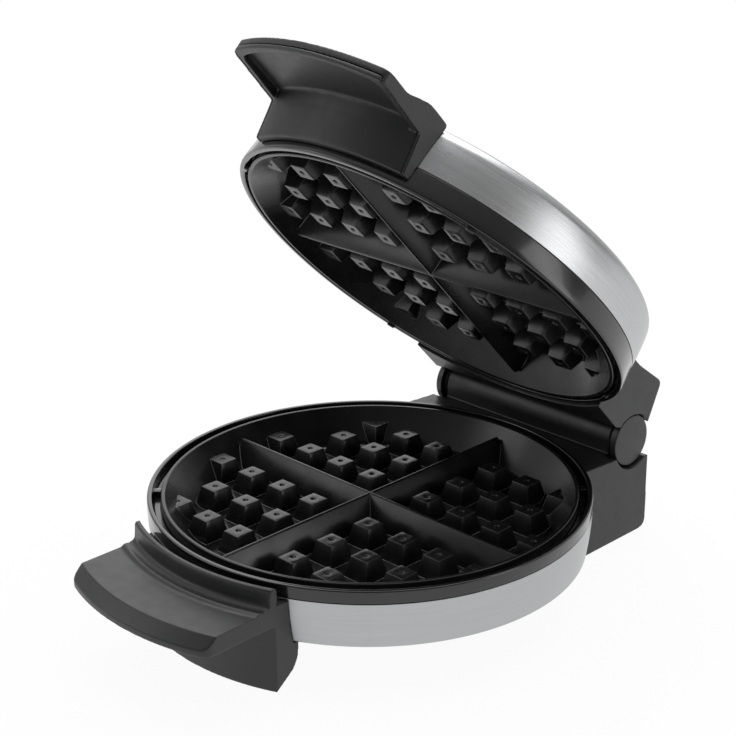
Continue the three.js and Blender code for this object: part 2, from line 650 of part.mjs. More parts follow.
// The fasteners that go up through the housing's tongue into the pan.
function tongueScrews() {
  const headZ = panZ - clearance - housing.tongueThick;
  const end = housing.tongueThick + sheet.thin + screw.bite;
  return [-1, 1].map((side) => {
    const x = side * fixing.tongueX;
    const shank = screw.shank + clearance;
    const sink = post(x, fixing.tongueY, headZ - overrun, headZ + screw.headHeight + clearance * 2,
      screw.head + clearance);
    const hole = sink.add(post(x, fixing.tongueY, headZ, headZ + end + clearance, shank));
    return {
      name: `housing_screw_${side < 0 ? 'left' : 'right'}`, hole,
      body: fastener(x, fixing.tongueY, headZ + clearance, end),
    };
  });
}

// A rubber foot: a plug in the housing's boss with a wider tread below it.
function heelFoot(x) {
  const plug = heelPad.radius - housing.wall / 2;
  return post(x, heelPad.y, 0, heelPad.height, plug, plug)
    .add(post(x, heelPad.y, 0, housing.foot - clearance, heelPad.radius, heelPad.radius));
}

// The cord gland along Y in the rear wall, or with no bore the hole for it.
function glandShape(neck, bore) {
  const start = housing.footY - housing.wall - overrun - gland.flangeThick;
  const end = housing.footY + clearance;
  const outline = bore > 0
    ? [[bore, start], [neck, start], [neck, end], [gland.flange, end], [gland.flange, end + gland.flangeThick],
      [neck, end + gland.flangeThick * 2], [bore, end + gland.flangeThick * 2]]
    : [[0, start], [neck, start], [neck, end + overrun], [0, end + overrun]];
  const along = turnedAlongX(outline, smallSteps, 0, 0);
  return along.rotate([0, 0, 90]).translate([0, 0, gland.z]);
}

// The hinge: one steel pin through barrel and cheeks, with a round cap on each end.
function buildHinge() {
  const half = housingWidth / 2 - disc.inset;
  const pinEnd = half - disc.depth / 2;
  place(base, 'hinge_pin', rod(-pinEnd, pinEnd, pin.radius, hingeY, hingeZ, smallSteps), finishes.foil);
  const inner = half - disc.depth;
  const boreR = pin.radius + clearance;
  const outline = [
    [0, half], [0, pinEnd + clearance], [boreR, pinEnd + clearance], [boreR, inner], [disc.radius, inner],
    [disc.radius, half - disc.edge], [disc.radius - disc.edge, half],
  ];
  const cap = turnedAlongX(outline, roundSteps, hingeY, hingeZ);
  place(base, 'hinge_cap_right', cap, finishes.handle);
  place(base, 'hinge_cap_left', cap.mirror([1, 0, 0]), finishes.handle);
}

// Lid: bezel, steel shell, plate, element and reflector
function buildLidBody() {
  const inner = sheet.steel;
  const ringIn = lidRadius - lidBezel.ring;
  const troughZ = faceZ + lidBezel.trough;
  const floorZ = troughZ + lidBezel.floor;
  const floorIn = plateRadius + clearance;
  const flangeOut = plateRadius + plate.flangeReach + clearance;
  const skirtZ = lidSeamZ + lidBezel.skirt;
  const skirtOut = lidBezel.shoulder - inner - clearance;
  const skirtIn = skirtOut - lidBezel.skirtWall;
  const flangeTop = faceZ + plate.flangeDrop + plate.flange + clearance;
  let ring = turned([
    [lidRadius - bezel.edge, faceZ], [ringIn, faceZ], [ringIn - bezel.edge / 4, troughZ], [floorIn, troughZ],
    [floorIn, floorZ], [flangeOut - lidBezel.skirtWall, floorZ], [flangeOut - lidBezel.skirtWall, flangeTop],
    [skirtIn, flangeTop + lidBezel.skirtWall], [skirtIn, skirtZ], [skirtOut - bezel.lean, skirtZ],
    [skirtOut, lidSeamZ - clearance], [lidBezel.shoulder, lidSeamZ - clearance], [lidRadius, faceZ + bezel.edge],
  ]);
  for (const turn of diagonals) {
    const nub = block(
      [floorIn, -peg.width / 2, faceZ - peg.proud], [ringIn, peg.width / 2, troughZ + lidBezel.floor / 2],
    );
    ring = ring.add(nub.rotate([0, 0, THREE.MathUtils.radToDeg(turn)]));
  }
  const flangeRoom = turned([
    [0, floorZ], [flangeOut, floorZ], [flangeOut, flangeTop], [0, flangeTop],
  ]);
  place(lid, 'lid_bezel', ring.subtract(flangeRoom), finishes.bezel);

  const outside = shellCrown(0);
  const inside = shellCrown(-inner).reverse();
  const shell = turned([
    ...outside, [0, shellTop + domeHeight], [0, shellTop + domeHeight - inner], ...inside,
  ]);
  let skin = shell.subtract(lampLens().hole);
  for (const one of [...lidHandleScrews(), ...bracketScrews()]) {
    skin = skin.subtract(one.hole);
    place(lid, one.name, one.body, finishes.foil);
  }
  place(lid, 'lid_shell', skin, finishes.steel);
  place(lid, 'indicator_lens', lampLens().body, finishes.lamp);

  const backZ = faceZ + plateDepth + plate.wall;
  const elementZ = backZ + clearance + element.tube;
  const dishZ = elementZ + element.tube + clearance;
  const grid = gridPlate(dishZ - clearance - backZ);
  place(lid, 'upper_plate', grid.rotate([180, 0, 0]).translate([0, 0, faceZ]), finishes.grid);
  place(lid, 'upper_element', heater(elementZ), finishes.element);
  place(lid, 'upper_reflector', reflectorDish(dishZ), finishes.foil);
  const headZ = dishZ + sheet.aluminium + clearance + screw.headHeight;
  diagonals.forEach((turn, i) => {
    const [x, y] = around(boss.ring, turn);
    const down = fastener(x, y, 0, screw.headHeight + boss.bite).mirror([0, 0, 1]);
    place(lid, `reflector_screw_${i + 1}`, down.translate([0, 0, headZ]), finishes.foil);
  });
}

// The fasteners through a round wall of the given radius, one each side, with their names.
function wallScrews(name, wallRadius, x, z, front) {
  return [-1, 1].map((side) => {
    const seat = Math.sqrt(wallRadius ** 2 - (x + screw.head) ** 2) - clearance - screw.headHeight;
    const y = front ? -seat : seat;
    const end = Math.sqrt(wallRadius ** 2 - x ** 2) - seat + screw.bite;
    return { name: `${name}_${side < 0 ? 'left' : 'right'}`, ...levelFastener(side * x, y, z, end) };
  });
}

function lidHandleScrews() {
  return wallScrews('lid_handle_screw', shellInside, fixing.handleX, lidSeamZ + fixing.rise, true);
}

function bracketScrews() {
  return wallScrews('bracket_screw', shellInside, fixing.bracketX, lidSeamZ + fixing.rise, false);
}

function lowerHandleScrews() {
  const wallRadius = band.toe - sheet.steel - clearance;
  return wallScrews('lower_handle_screw', wallRadius, fixing.bandX, standHeight + fixing.bandRise, true);
}

// The small lamp lens on the lid's dome near the handle, and the hole it sits in.
function lampLens() {
  const [[kneeShare, riseShare]] = domeShares;
  const innerEdge = -lens.y - lens.rim;
  const fallShare = innerEdge / (lidBezel.shoulder * kneeShare);
  const skin = shellTop + domeHeight * (1 - (1 - riseShare) * fallShare);
  const body = post(lens.x, lens.y, skin - lens.depth, skin + lens.rimHeight, lens.radius, lens.radius)
    .add(post(lens.x, lens.y, skin + clearance, skin + lens.rimHeight, lens.rim, lens.radius));
  const hole = post(lens.x, lens.y, skin - lens.depth, skin + domeHeight, lens.radius + clearance,
    lens.radius + clearance);
  return { body, hole };
}

// The lid's handle: a top skin and the liner under it, with the finger pocket in the liner.
function buildLidHandle() {
  const half = handleWidth / 2;
  const z = (drop) => shellTop + drop;
  const back = hood.bumpY / 2;
  const arm = across([
    [-back, z(hood.throatDrop)], [-hood.throatY, z(hood.throatDrop)],
    [-hood.frontY - overrun, z(hood.underDrop)], [-hood.frontY - overrun, z(hood.neckTop)],
    [-hood.neckY, z(hood.neckTop), hood.ease * 2], [-hood.bumpBack, z(hood.bumpTop), hood.ease],
    [-hood.bumpY, z(hood.bumpTop), hood.ease / 2], [-back, z(hood.bumpTop)],
  ], -half, half);
  const skirt = turned([
    [back, faceZ + hood.skirtZ], [hood.skirtR, faceZ + hood.skirtZ], [hood.waistR, z(hood.waistDrop)],
    [hood.pocketWall, z(hood.throatDrop)], [hood.pocketWall, z(hood.ceiling)], [back, z(hood.ceiling)],
  ]);
  const plan = frontOutline(half, hood.frontY, hood.sideY, hood.corner, back);
  const trimmed = arm.add(skirt)
    .intersect(upright(plan, faceZ, shellTop + domeHeight * 2))
    .subtract(lidEnvelope(clearance))
    .subtract(post(0, 0, shellTop - shellHeight, shellTop + domeHeight * 2, hood.bumpY, hood.bumpY, ringSteps));
  const lined = [
    [-back, faceZ], [-hood.frontY - hood.corner, faceZ], [-hood.frontY - hood.corner, z(hood.neckTop - hood.skin)],
    [-hood.neckY, z(hood.neckTop - hood.skin), hood.ease * 2],
    [-hood.bumpBack, z(hood.bumpTop - hood.skin), hood.ease], [-back, z(hood.bumpTop - hood.skin)],
  ];
  const core = across(lined, -half + hood.skin, half - hood.skin);
  const inner = across(lined, -half + hood.skin + clearance, half - hood.skin - clearance)
    .translate([0, 0, -clearance]);
  const wallRound = post(0, 0, faceZ, shellTop, hood.pocketWall, hood.pocketWall, ringSteps);
  const pocketPlan = frontOutline(half - hood.cheek, hood.frontY - hood.rim, hood.sideY - hood.rim,
    hood.corner, back);
  const pocket = upright(pocketPlan, z(hood.underDrop) - hood.shelf * 2, z(hood.ceiling)).subtract(wallRound);
  place(lid, 'lid_handle', trimmed.subtract(core), finishes.handle);
  let liner = trimmed.intersect(inner).subtract(pocket);
  for (const one of lidHandleScrews()) {
    liner = liner.subtract(one.hole);
  }
  place(lid, 'lid_handle_liner', liner, finishes.handle);
}

// The lid's hinge bracket: two cheeks joined by a front wall, a top and a rear wall.
function buildBracket() {
  const half = housingWidth / 2 - disc.inset;
  const inside = half - cheek.wall;
  const low = faceZ + bracket.lowZ;
  const w = bracket.wall;
  const profile = [
    [bracket.frontY, low], [bracket.toeY, low], [hingeY - barrel.radius, low + w],
    [hingeY, hingeZ], [bracket.rearY, bracket.rearZ], [bracket.topY, shellTop + bracket.topZ, bracket.ease],
    [bracket.ledgeY, shellTop + bracket.stepZ, bracket.ease], [bracket.stepY, shellTop + bracket.stepZ],
  ];
  const outside = across(profile, -half, half);
  const web = rod(inside, half, barrel.radius, hingeY, hingeZ);
  const hollowShape = [
    [bracket.frontY, low + w], [bracket.stepY, shellTop + bracket.stepZ - w],
    [bracket.ledgeY, shellTop + bracket.stepZ - w], [bracket.topY - w, shellTop + bracket.topZ - w],
    [bracket.rearY - w, bracket.rearZ + w], [bracket.rearY + w, low - w * 3],
    [bracket.toeY, low - w * 3], [bracket.toeY, low + w],
  ];
  const frontWall = post(0, 0, 0, shellTop * 2, lidRadius + clearance + w, lidRadius + clearance + w, ringSteps);
  const hollow = across(hollowShape, -inside, inside).subtract(frontWall);
  const rearOpen = block(
    [-inside, hingeY - barrel.radius, low - w * 3],
    [inside, bracket.rearY + w, hingeZ + bracket.rearEnd],
  );
  const recess = rod(half - disc.depth - clearance, half + overrun, disc.radius + clearance, hingeY, hingeZ);
  const underside = post(0, 0, 0, faceZ, lidRadius + clearance, lidRadius + clearance, ringSteps);
  const lean = degrees(openAngle);
  const slotY = disc.slot * Math.cos(lean);
  const slotZ = disc.slot * Math.sin(lean);
  const recesses = recess.add(recess.translate([0, slotY, slotZ]));
  let body = outside.subtract(hollow).subtract(rearOpen).add(web).add(web.mirror([1, 0, 0]))
    .subtract(recesses).subtract(recesses.mirror([1, 0, 0]))
    .subtract(rod(-half, half, pin.radius + pin.play, hingeY, hingeZ))
    .subtract(lidEnvelope(clearance)).subtract(underside);
  for (const one of bracketScrews()) {
    body = body.subtract(one.hole);
  }
  place(lid, 'lid_bracket', body, finishes.handle);
}

buildBaseBody();
buildBaseInsides();
buildLowerHandle();
buildHousing();
buildHinge();
buildLidBody();
buildLidHandle();
buildBracket();

// Stand the whole on Z = 0 with the middle of its footprint box on the origin.
whole.updateMatrixWorld(true);
const box = new THREE.Box3().setFromObject(whole, true);
const middle = box.getCenter(new THREE.Vector3());
const group = new THREE.Group();
whole.position.set(-middle.x, -middle.y, -box.min.z);
group.add(whole);

export default group;
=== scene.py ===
"""Looks of a round countertop baker with two grid plates and a hinged lid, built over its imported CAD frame.

Every mesh is drawn in millimetres around the cooker's upright round axis, the lid shut, and is then
scaled to metres and put in place: base pieces move to the axis, lid pieces also turn open about the hinge.
"""
from __future__ import annotations

import json
import logging
import math
from dataclasses import dataclass
from enum import Enum
from typing import Any, Sequence

import bmesh
import bpy
from mathutils import Matrix, Vector

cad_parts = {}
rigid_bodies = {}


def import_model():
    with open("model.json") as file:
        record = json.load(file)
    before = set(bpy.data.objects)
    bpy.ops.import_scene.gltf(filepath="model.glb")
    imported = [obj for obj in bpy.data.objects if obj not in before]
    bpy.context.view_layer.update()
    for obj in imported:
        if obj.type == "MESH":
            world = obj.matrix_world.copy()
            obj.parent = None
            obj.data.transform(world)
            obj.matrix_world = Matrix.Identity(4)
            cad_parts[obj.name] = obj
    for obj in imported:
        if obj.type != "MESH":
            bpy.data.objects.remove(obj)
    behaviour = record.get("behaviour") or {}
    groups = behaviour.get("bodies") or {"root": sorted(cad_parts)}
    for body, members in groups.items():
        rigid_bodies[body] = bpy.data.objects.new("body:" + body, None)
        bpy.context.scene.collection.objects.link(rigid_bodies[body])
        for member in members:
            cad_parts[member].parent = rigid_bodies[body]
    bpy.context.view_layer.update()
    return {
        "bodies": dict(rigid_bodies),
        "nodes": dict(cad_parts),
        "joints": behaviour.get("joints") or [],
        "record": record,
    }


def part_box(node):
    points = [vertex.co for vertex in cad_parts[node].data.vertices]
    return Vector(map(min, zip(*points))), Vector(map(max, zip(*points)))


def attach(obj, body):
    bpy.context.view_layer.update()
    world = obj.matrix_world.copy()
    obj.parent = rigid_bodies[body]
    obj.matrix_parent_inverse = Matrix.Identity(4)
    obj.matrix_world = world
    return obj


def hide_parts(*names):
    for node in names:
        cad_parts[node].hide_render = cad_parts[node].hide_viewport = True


logging.basicConfig(level=logging.INFO, format="%(message)s")
log = logging.getLogger("looks")

MILLIMETRE = 0.001
ROUNDING_SHARE = 0.48
ON_AXIS = 1e-6
ARCH_STEPS = 24
BEVEL_FROM = math.radians(28)
SHARP_FROM = math.radians(38)
PEG_ROUND = 0.5
PEG_TURNS = (45, 135, 225, 315)
LAMPS_AIM = 0.1
SIDES = ((-1, "left"), (1, "right"))

Piece = bpy.types.Object
Point = Sequence[float]
Outline = Sequence[Point]


class Axis(Enum):
    """The direction a prism is drawn out along."""

    X = "x"
    Z = "z"


class Cut(Enum):
    """How one solid changes another."""

    TAKE = "DIFFERENCE"
    JOIN = "UNION"
    KEEP = "INTERSECT"


@dataclass(frozen=True)
class Detail:
    """How finely curves and moulded pieces are meshed."""

    ring: int
    small: int
    voxel: float

    @staticmethod
    def chosen() -> Detail:
        """Gives the fine detail."""
        return Detail(ring=224, small=64, voxel=0.42)


DETAIL = Detail.chosen()


@dataclass(frozen=True)
class Fit:
    """Gaps, overruns and widths that several pieces share, in millimetres."""

    clearance: float = 0.3
    over: float = 1.0
    sheet: float = 0.8
    handle_half: float = 43.3
    housing_half: float = 58


FIT = Fit()


@dataclass(frozen=True)
class Stack:
    """Heights of the lid's layers above the base's rim, and the shell's rounded crown."""

    face_gap: float = 1.5
    bezel: float = 10.6
    shell: float = 20.4
    dome: float = 4.1
    shoulder: float = 96.1
    crown_round: float = 4.5
    dome_share: float = 0.6
    dome_rise_share: float = 0.72


STACK = Stack()


# Outlines


def eased(outline: Outline, steps: int = 6) -> list[tuple[float, float]]:
    """Rounds the corners of an outline.

    Args:
        outline: Points of two coordinates, with a third for the reach of that corner's rounding.
        steps: Segments of each rounded corner.

    Returns:
        The outline's points with each rounded corner as a short curve.
    """
    points: list[tuple[float, float]] = []
    count = len(outline)
    for i, corner in enumerate(outline):
        here = Vector(corner[:2])
        if len(corner) < 3 or corner[2] == 0:
            points.append(tuple(here))
            continue
        before = Vector(outline[i - 1][:2]) - here
        after = Vector(outline[(i + 1) % count][:2]) - here
        reach = min(corner[2], before.length * ROUNDING_SHARE, after.length * ROUNDING_SHARE)
        start = here + before.normalized() * reach
        end = here + after.normalized() * reach
        for step in range(steps + 1):
            share = step / steps
            first = start.lerp(here, share)
            second = here.lerp(end, share)
            points.append(tuple(first.lerp(second, share)))
    return points


def arched_front(half: float, front: float, side: float, corner: float, back: float) -> list[tuple]:
    """Gives the plan of a handle: straight sides, an arched front and rounded front corners.

    Args:
        half: Half of its width.
        front: How far the middle of the front reaches.
        side: How far the front's ends reach.
        corner: Reach of the rounding at the front corners.
        back: Where the sides end towards the round body.

    Returns:
        Points of x and y, the front towards -Y.
    """
    sag = front - side
    radius = (half * half + sag * sag) / (2 * sag)
    reach = math.asin((half - corner) / radius)
    turns = [-reach + 2 * reach * step / ARCH_STEPS for step in range(ARCH_STEPS + 1)]
    arc = [(radius * math.sin(turn), radius - front - radius * math.cos(turn)) for turn in turns]
    return eased([(half, -back), (-half, -back), (-half, -side, corner), *arc, (half, -side, corner)])


# Meshes


def new_object(name: str, maker: bmesh.types.BMesh) -> Piece:
    """Turns a bmesh into an object of the scene, its faces pointing outwards."""
    bmesh.ops.recalc_face_normals(maker, faces=maker.faces)
    mesh = bpy.data.meshes.new(name)
    maker.to_mesh(mesh)
    maker.free()
    made = bpy.data.objects.new(name, mesh)
    bpy.context.scene.collection.objects.link(made)
    return made


def revolve(name: str, outline: Outline, steps: int = DETAIL.ring) -> Piece:
    """Turns a closed outline of radius and height about Z.

    Args:
        name: The object's name.
        outline: Points of radius and height; points on the axis become one vertex.
        steps: Segments of the whole turn.

    Returns:
        A closed solid.
    """
    maker = bmesh.new()
    rings = []
    for radius, height in outline:
        if radius < ON_AXIS:
            rings.append([maker.verts.new((0, 0, height))] * steps)
            continue
        turns = [2 * math.pi * i / steps for i in range(steps)]
        rings.append([maker.verts.new((radius * math.cos(t), radius * math.sin(t), height)) for t in turns])
    for low, high in zip(rings, rings[1:] + rings[:1]):
        for i in range(steps):
            after = (i + 1) % steps
            corners = list(dict.fromkeys([low[i], low[after], high[after], high[i]]))
            if len(corners) > 2:
                maker.faces.new(corners)
    return new_object(name, maker)


def prism(name: str, outline: Outline, low: float, high: float, axis: Axis) -> Piece:
    """Draws an outline out along an axis.

    Args:
        name: The object's name.
        outline: Points of y and z for a prism along X, or of x and y for one along Z.
        low: Where the prism starts.
        high: Where it ends.
        axis: The direction it is drawn out along.

    Returns:
        A closed solid.
    """
    maker = bmesh.new()

    def corner(point: Point, level: float) -> bmesh.types.BMVert:
        """Adds one corner at a level along the axis."""
        place = (level, *point) if axis is Axis.X else (*point, level)
        return maker.verts.new(place)

    first = [corner(point, low) for point in outline]
    last = [corner(point, high) for point in outline]
    maker.faces.new(first)
    maker.faces.new(last)
    for i in range(len(outline)):
        after = (i + 1) % len(outline)
        maker.faces.new((first[i], first[after], last[after], last[i]))
    return new_object(name, maker)


def turned(name: str, outline: Outline, steps: int = DETAIL.ring, rounds: int = 6) -> Piece:
    """Turns an outline with rounded corners about Z and shades it.

    Args:
        name: The object's name.
        outline: Points of radius and height, with a third value for a rounding's reach.
        steps: Segments of the whole turn.
        rounds: Segments of each rounded corner.

    Returns:
        A closed solid.
    """
    return shaded(revolve(name, eased(outline, rounds), steps))


def drum(name: str, radius: float, low: float, high: float, steps: int = DETAIL.ring) -> Piece:
    """Draws an upright cylinder about Z."""
    return revolve(name, [(0, low), (radius, low), (radius, high), (0, high)], steps)


def block(name: str, low: Point, high: Point) -> Piece:
    """Draws a box between two corners."""
    outline = [(low[0], low[1]), (high[0], low[1]), (high[0], high[1]), (low[0], high[1])]
    return prism(name, outline, low[2], high[2], Axis.Z)


def altered(piece: Piece, kind: str, **values: Any) -> Piece:
    """Adds a modifier of a kind to a piece and sets its values."""
    modifier = piece.modifiers.new(kind, kind)
    for name, value in values.items():
        setattr(modifier, name, value)
    return piece


def settle(piece: Piece) -> Piece:
    """Writes a piece's modifiers into its mesh."""
    evaluated = piece.evaluated_get(bpy.context.evaluated_depsgraph_get())
    mesh = bpy.data.meshes.new_from_object(evaluated)
    old = piece.data
    piece.modifiers.clear()
    piece.data = mesh
    bpy.data.meshes.remove(old)
    return piece


def carve(piece: Piece, tool: Piece, how: Cut) -> Piece:
    """Changes a piece by a second solid, which is used up."""
    settle(altered(piece, "BOOLEAN", operation=how.value, solver="MANIFOLD", object=tool))
    bpy.data.objects.remove(tool)
    return piece


def placed(piece: Piece, move: Matrix) -> Piece:
    """Moves a piece's mesh by a matrix."""
    piece.data.transform(move)
    return piece


def shifted(piece: Piece, x: float, y: float, z: float) -> Piece:
    """Moves a piece's mesh along the three axes."""
    return placed(piece, Matrix.Translation((x, y, z)))


def turned_copy(piece: Piece, turn: Matrix) -> Piece:
    """Copies a piece with its mesh moved by a matrix."""
    copy = piece.copy()
    copy.data = piece.data.copy()
    copy.data.transform(turn)
    if turn.determinant() < 0:
        copy.data.flip_normals()
    bpy.context.scene.collection.objects.link(copy)
    return copy


def joined(name: str, pieces: Sequence[Piece]) -> Piece:
    """Puts several closed shells into one object, as they are."""
    maker = bmesh.new()
    for piece in pieces:
        maker.from_mesh(piece.data)
        bpy.data.objects.remove(piece)
    return new_object(name, maker)


def moulded(piece: Piece, passes: int, voxel: float = DETAIL.voxel) -> Piece:
    """Gives a carved solid the soft edges of a moulded piece.

    Args:
        piece: The solid.
        passes: Rounds of smoothing; each one softens the edges a little more.
        voxel: Size of the new mesh's faces.

    Returns:
        The same object, with an even mesh.
    """
    altered(piece, "REMESH", mode="VOXEL", voxel_size=voxel)
    settle(altered(piece, "SMOOTH", factor=0.5, iterations=passes))
    piece.data.shade_smooth()
    return piece


def bevelled(piece: Piece, width: float, segments: int = 3) -> Piece:
    """Rounds a solid's sharp edges by a bevel of the given width."""
    limits = {"limit_method": "ANGLE", "angle_limit": BEVEL_FROM, "use_clamp_overlap": True}
    return shaded(settle(altered(piece, "BEVEL", width=width, segments=segments, **limits)))


def shaded(piece: Piece) -> Piece:
    """Shades a mesh smooth but for its sharp edges."""
    piece.data.shade_smooth()
    piece.data.set_sharp_from_angle(angle=SHARP_FROM)
    return piece


def with_pegs(name: str, ring: Piece, low: Point, high: Point) -> Piece:
    """Adds four small pegs, a quarter turn apart, to a bezel ring.

    Args:
        name: The new object's name.
        ring: The bezel ring, which is used up.
        low: One corner of a peg before it is turned to its place.
        high: Its opposite corner.

    Returns:
        Ring and pegs as one object.
    """
    peg = bevelled(block("peg", low, high), PEG_ROUND)
    pegs = [turned_copy(peg, Matrix.Rotation(math.radians(turn), 4, "Z")) for turn in PEG_TURNS]
    bpy.data.objects.remove(peg)
    return shaded(joined(name, [ring, *pegs]))


# Where things are


class Places:
    """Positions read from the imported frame, and every material by the record's slot."""

    def __init__(self, frame: dict[str, Any]) -> None:
        """Finds the round axis, the lid's heights, the hinge and how far open the lid stands."""
        low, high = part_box("base_bezel")
        self.axis = Vector(((low.x + high.x) / 2, (low.y + high.y) / 2, 0))
        self.base_radius = (high.x - low.x) / 2 / MILLIMETRE
        self.rim = high.z / MILLIMETRE
        self.face = self.rim + STACK.face_gap
        self.seam = self.face + STACK.bezel
        self.top = self.seam + STACK.shell
        band_low, band_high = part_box("base_band")
        self.stand = band_low.z / MILLIMETRE
        self.band_top = band_high.z / MILLIMETRE
        lid_low, lid_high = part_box("lid_bezel")
        self.lid_radius = (lid_high.x - lid_low.x) / 2 / MILLIMETRE
        joint = next(one for one in frame["joints"] if one["name"] == "lid_hinge")
        self.hinge = Vector(joint["pos_m"])
        self.opening = math.radians(max(joint["range_deg"]))
        self.hinge_y = (self.hinge.y - self.axis.y) / MILLIMETRE
        self.hinge_z = self.hinge.z / MILLIMETRE
        self.base = Matrix.Translation(self.axis) @ Matrix.Scale(MILLIMETRE, 4)
        swing = Matrix.Rotation(-self.opening, 4, "X")
        self.lid = Matrix.Translation(self.hinge) @ swing @ Matrix.Translation(-self.hinge) @ self.base
        self.finishes = {slot: kind.material() for slot, kind in self.kinds().items()}

    def kinds(self) -> dict[str, Any]:
        """Lists what each slot's material is."""
        brushing = {"axis": self.axis, "hinge": self.hinge}
        gloss = {"grain": 0.9, "depth": 0.0006, "swell": 0.004, "coat": 0.4}
        return {
            "band_steel": BrushedSteel("brushed_band_steel", "#b3b5b6", "#adafb0", 0.3, 0, **brushing),
            "lid_steel": BrushedSteel(
                "brushed_lid_steel", "#bcbdbe", "#b5b6b7", 0.28, self.opening, **brushing,
            ),
            "bezel_plastic": MouldedPlastic("glossy_moulded_bezel", "#121213", "#171718", 0.2, **gloss),
            "handle_plastic": MouldedPlastic("matt_moulded_handle", "#232425", "#292a2b", 0.4),
            "housing_plastic": MouldedPlastic("matt_moulded_housing", "#1b1b1c", "#202021", 0.42),
            "nonstick": NonStickCoat("sprayed_nonstick_coat"),
            "element_sheath": PlainMetal("heat_browned_sheath", "#5c554c", "#3d3630", 0.42),
            "bright_sheet": PlainMetal("bright_rolled_sheet", "#c9cbcd", "#b4b4b2", 0.25),
            "fastener_steel": PlainMetal("zinc_plated_steel", "#b9b8b0", "#8f8d86", 0.33, 0.25),
            "foot_rubber": DullSolid("moulded_rubber", "#19191a", "#232324", 0.8, 0.5, 0.02),
            "ceramic": DullSolid("pressed_ceramic", "#d9d4c6", "#c8c2b2", 0.55, 0.3, 0.01),
            "lead_sleeve": DullSolid("woven_glass_sleeve", "#7d2a20", "#93402f", 0.75, 0.45, 0.06),
            "lens_red": LampLens(),
        }

    def dress_frame(self, frame: dict[str, Any]) -> None:
        """Gives every CAD node the material of its slot."""
        slots = {part["node"]: part["material_slot"] for part in frame["record"]["subparts"]}
        for name, node in frame["nodes"].items():
            finish = self.finishes[slots[name]]
            if not node.material_slots:
                node.data.materials.append(finish)
            for place in node.material_slots:
                place.material = finish

    def laid(self, piece: Piece, side: int) -> Piece:
        """Lays an upright piece along the hinge, its top towards one side."""
        turn = Matrix.Rotation(math.pi / 2 * side, 4, "Y")
        return placed(piece, Matrix.Translation((0, self.hinge_y, self.hinge_z)) @ turn)

    def hang(self, piece: Piece, body: str, slot: str, *nodes: str) -> None:
        """Puts a piece in place on its body, in its material.

        Args:
            piece: A mesh in millimetres about the round axis, the lid shut.
            body: The CAD body it rides on.
            slot: The record's material slot.
            nodes: The CAD nodes it stands for.
        """
        piece.data.transform(self.lid if body == "lid" else self.base)
        piece.data.materials.clear()
        piece.data.materials.append(self.finishes[slot])
        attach(piece, body)
        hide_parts(*nodes)
        log.info("%s: %d faces, for %s", piece.name, len(piece.data.polygons), ", ".join(nodes))


# Materials


def linear(code: str) -> tuple[float, float, float, float]:
    """Turns an sRGB colour such as "#a3a8aa" into linear values with full opacity."""
    parts = [int(code[i:i + 2], 16) / 255 for i in (1, 3, 5)]
    shares = [part / 12.92 if part <= 0.04045 else ((part + 0.055) / 1.055) ** 2.4 for part in parts]
    return (*shares, 1.0)


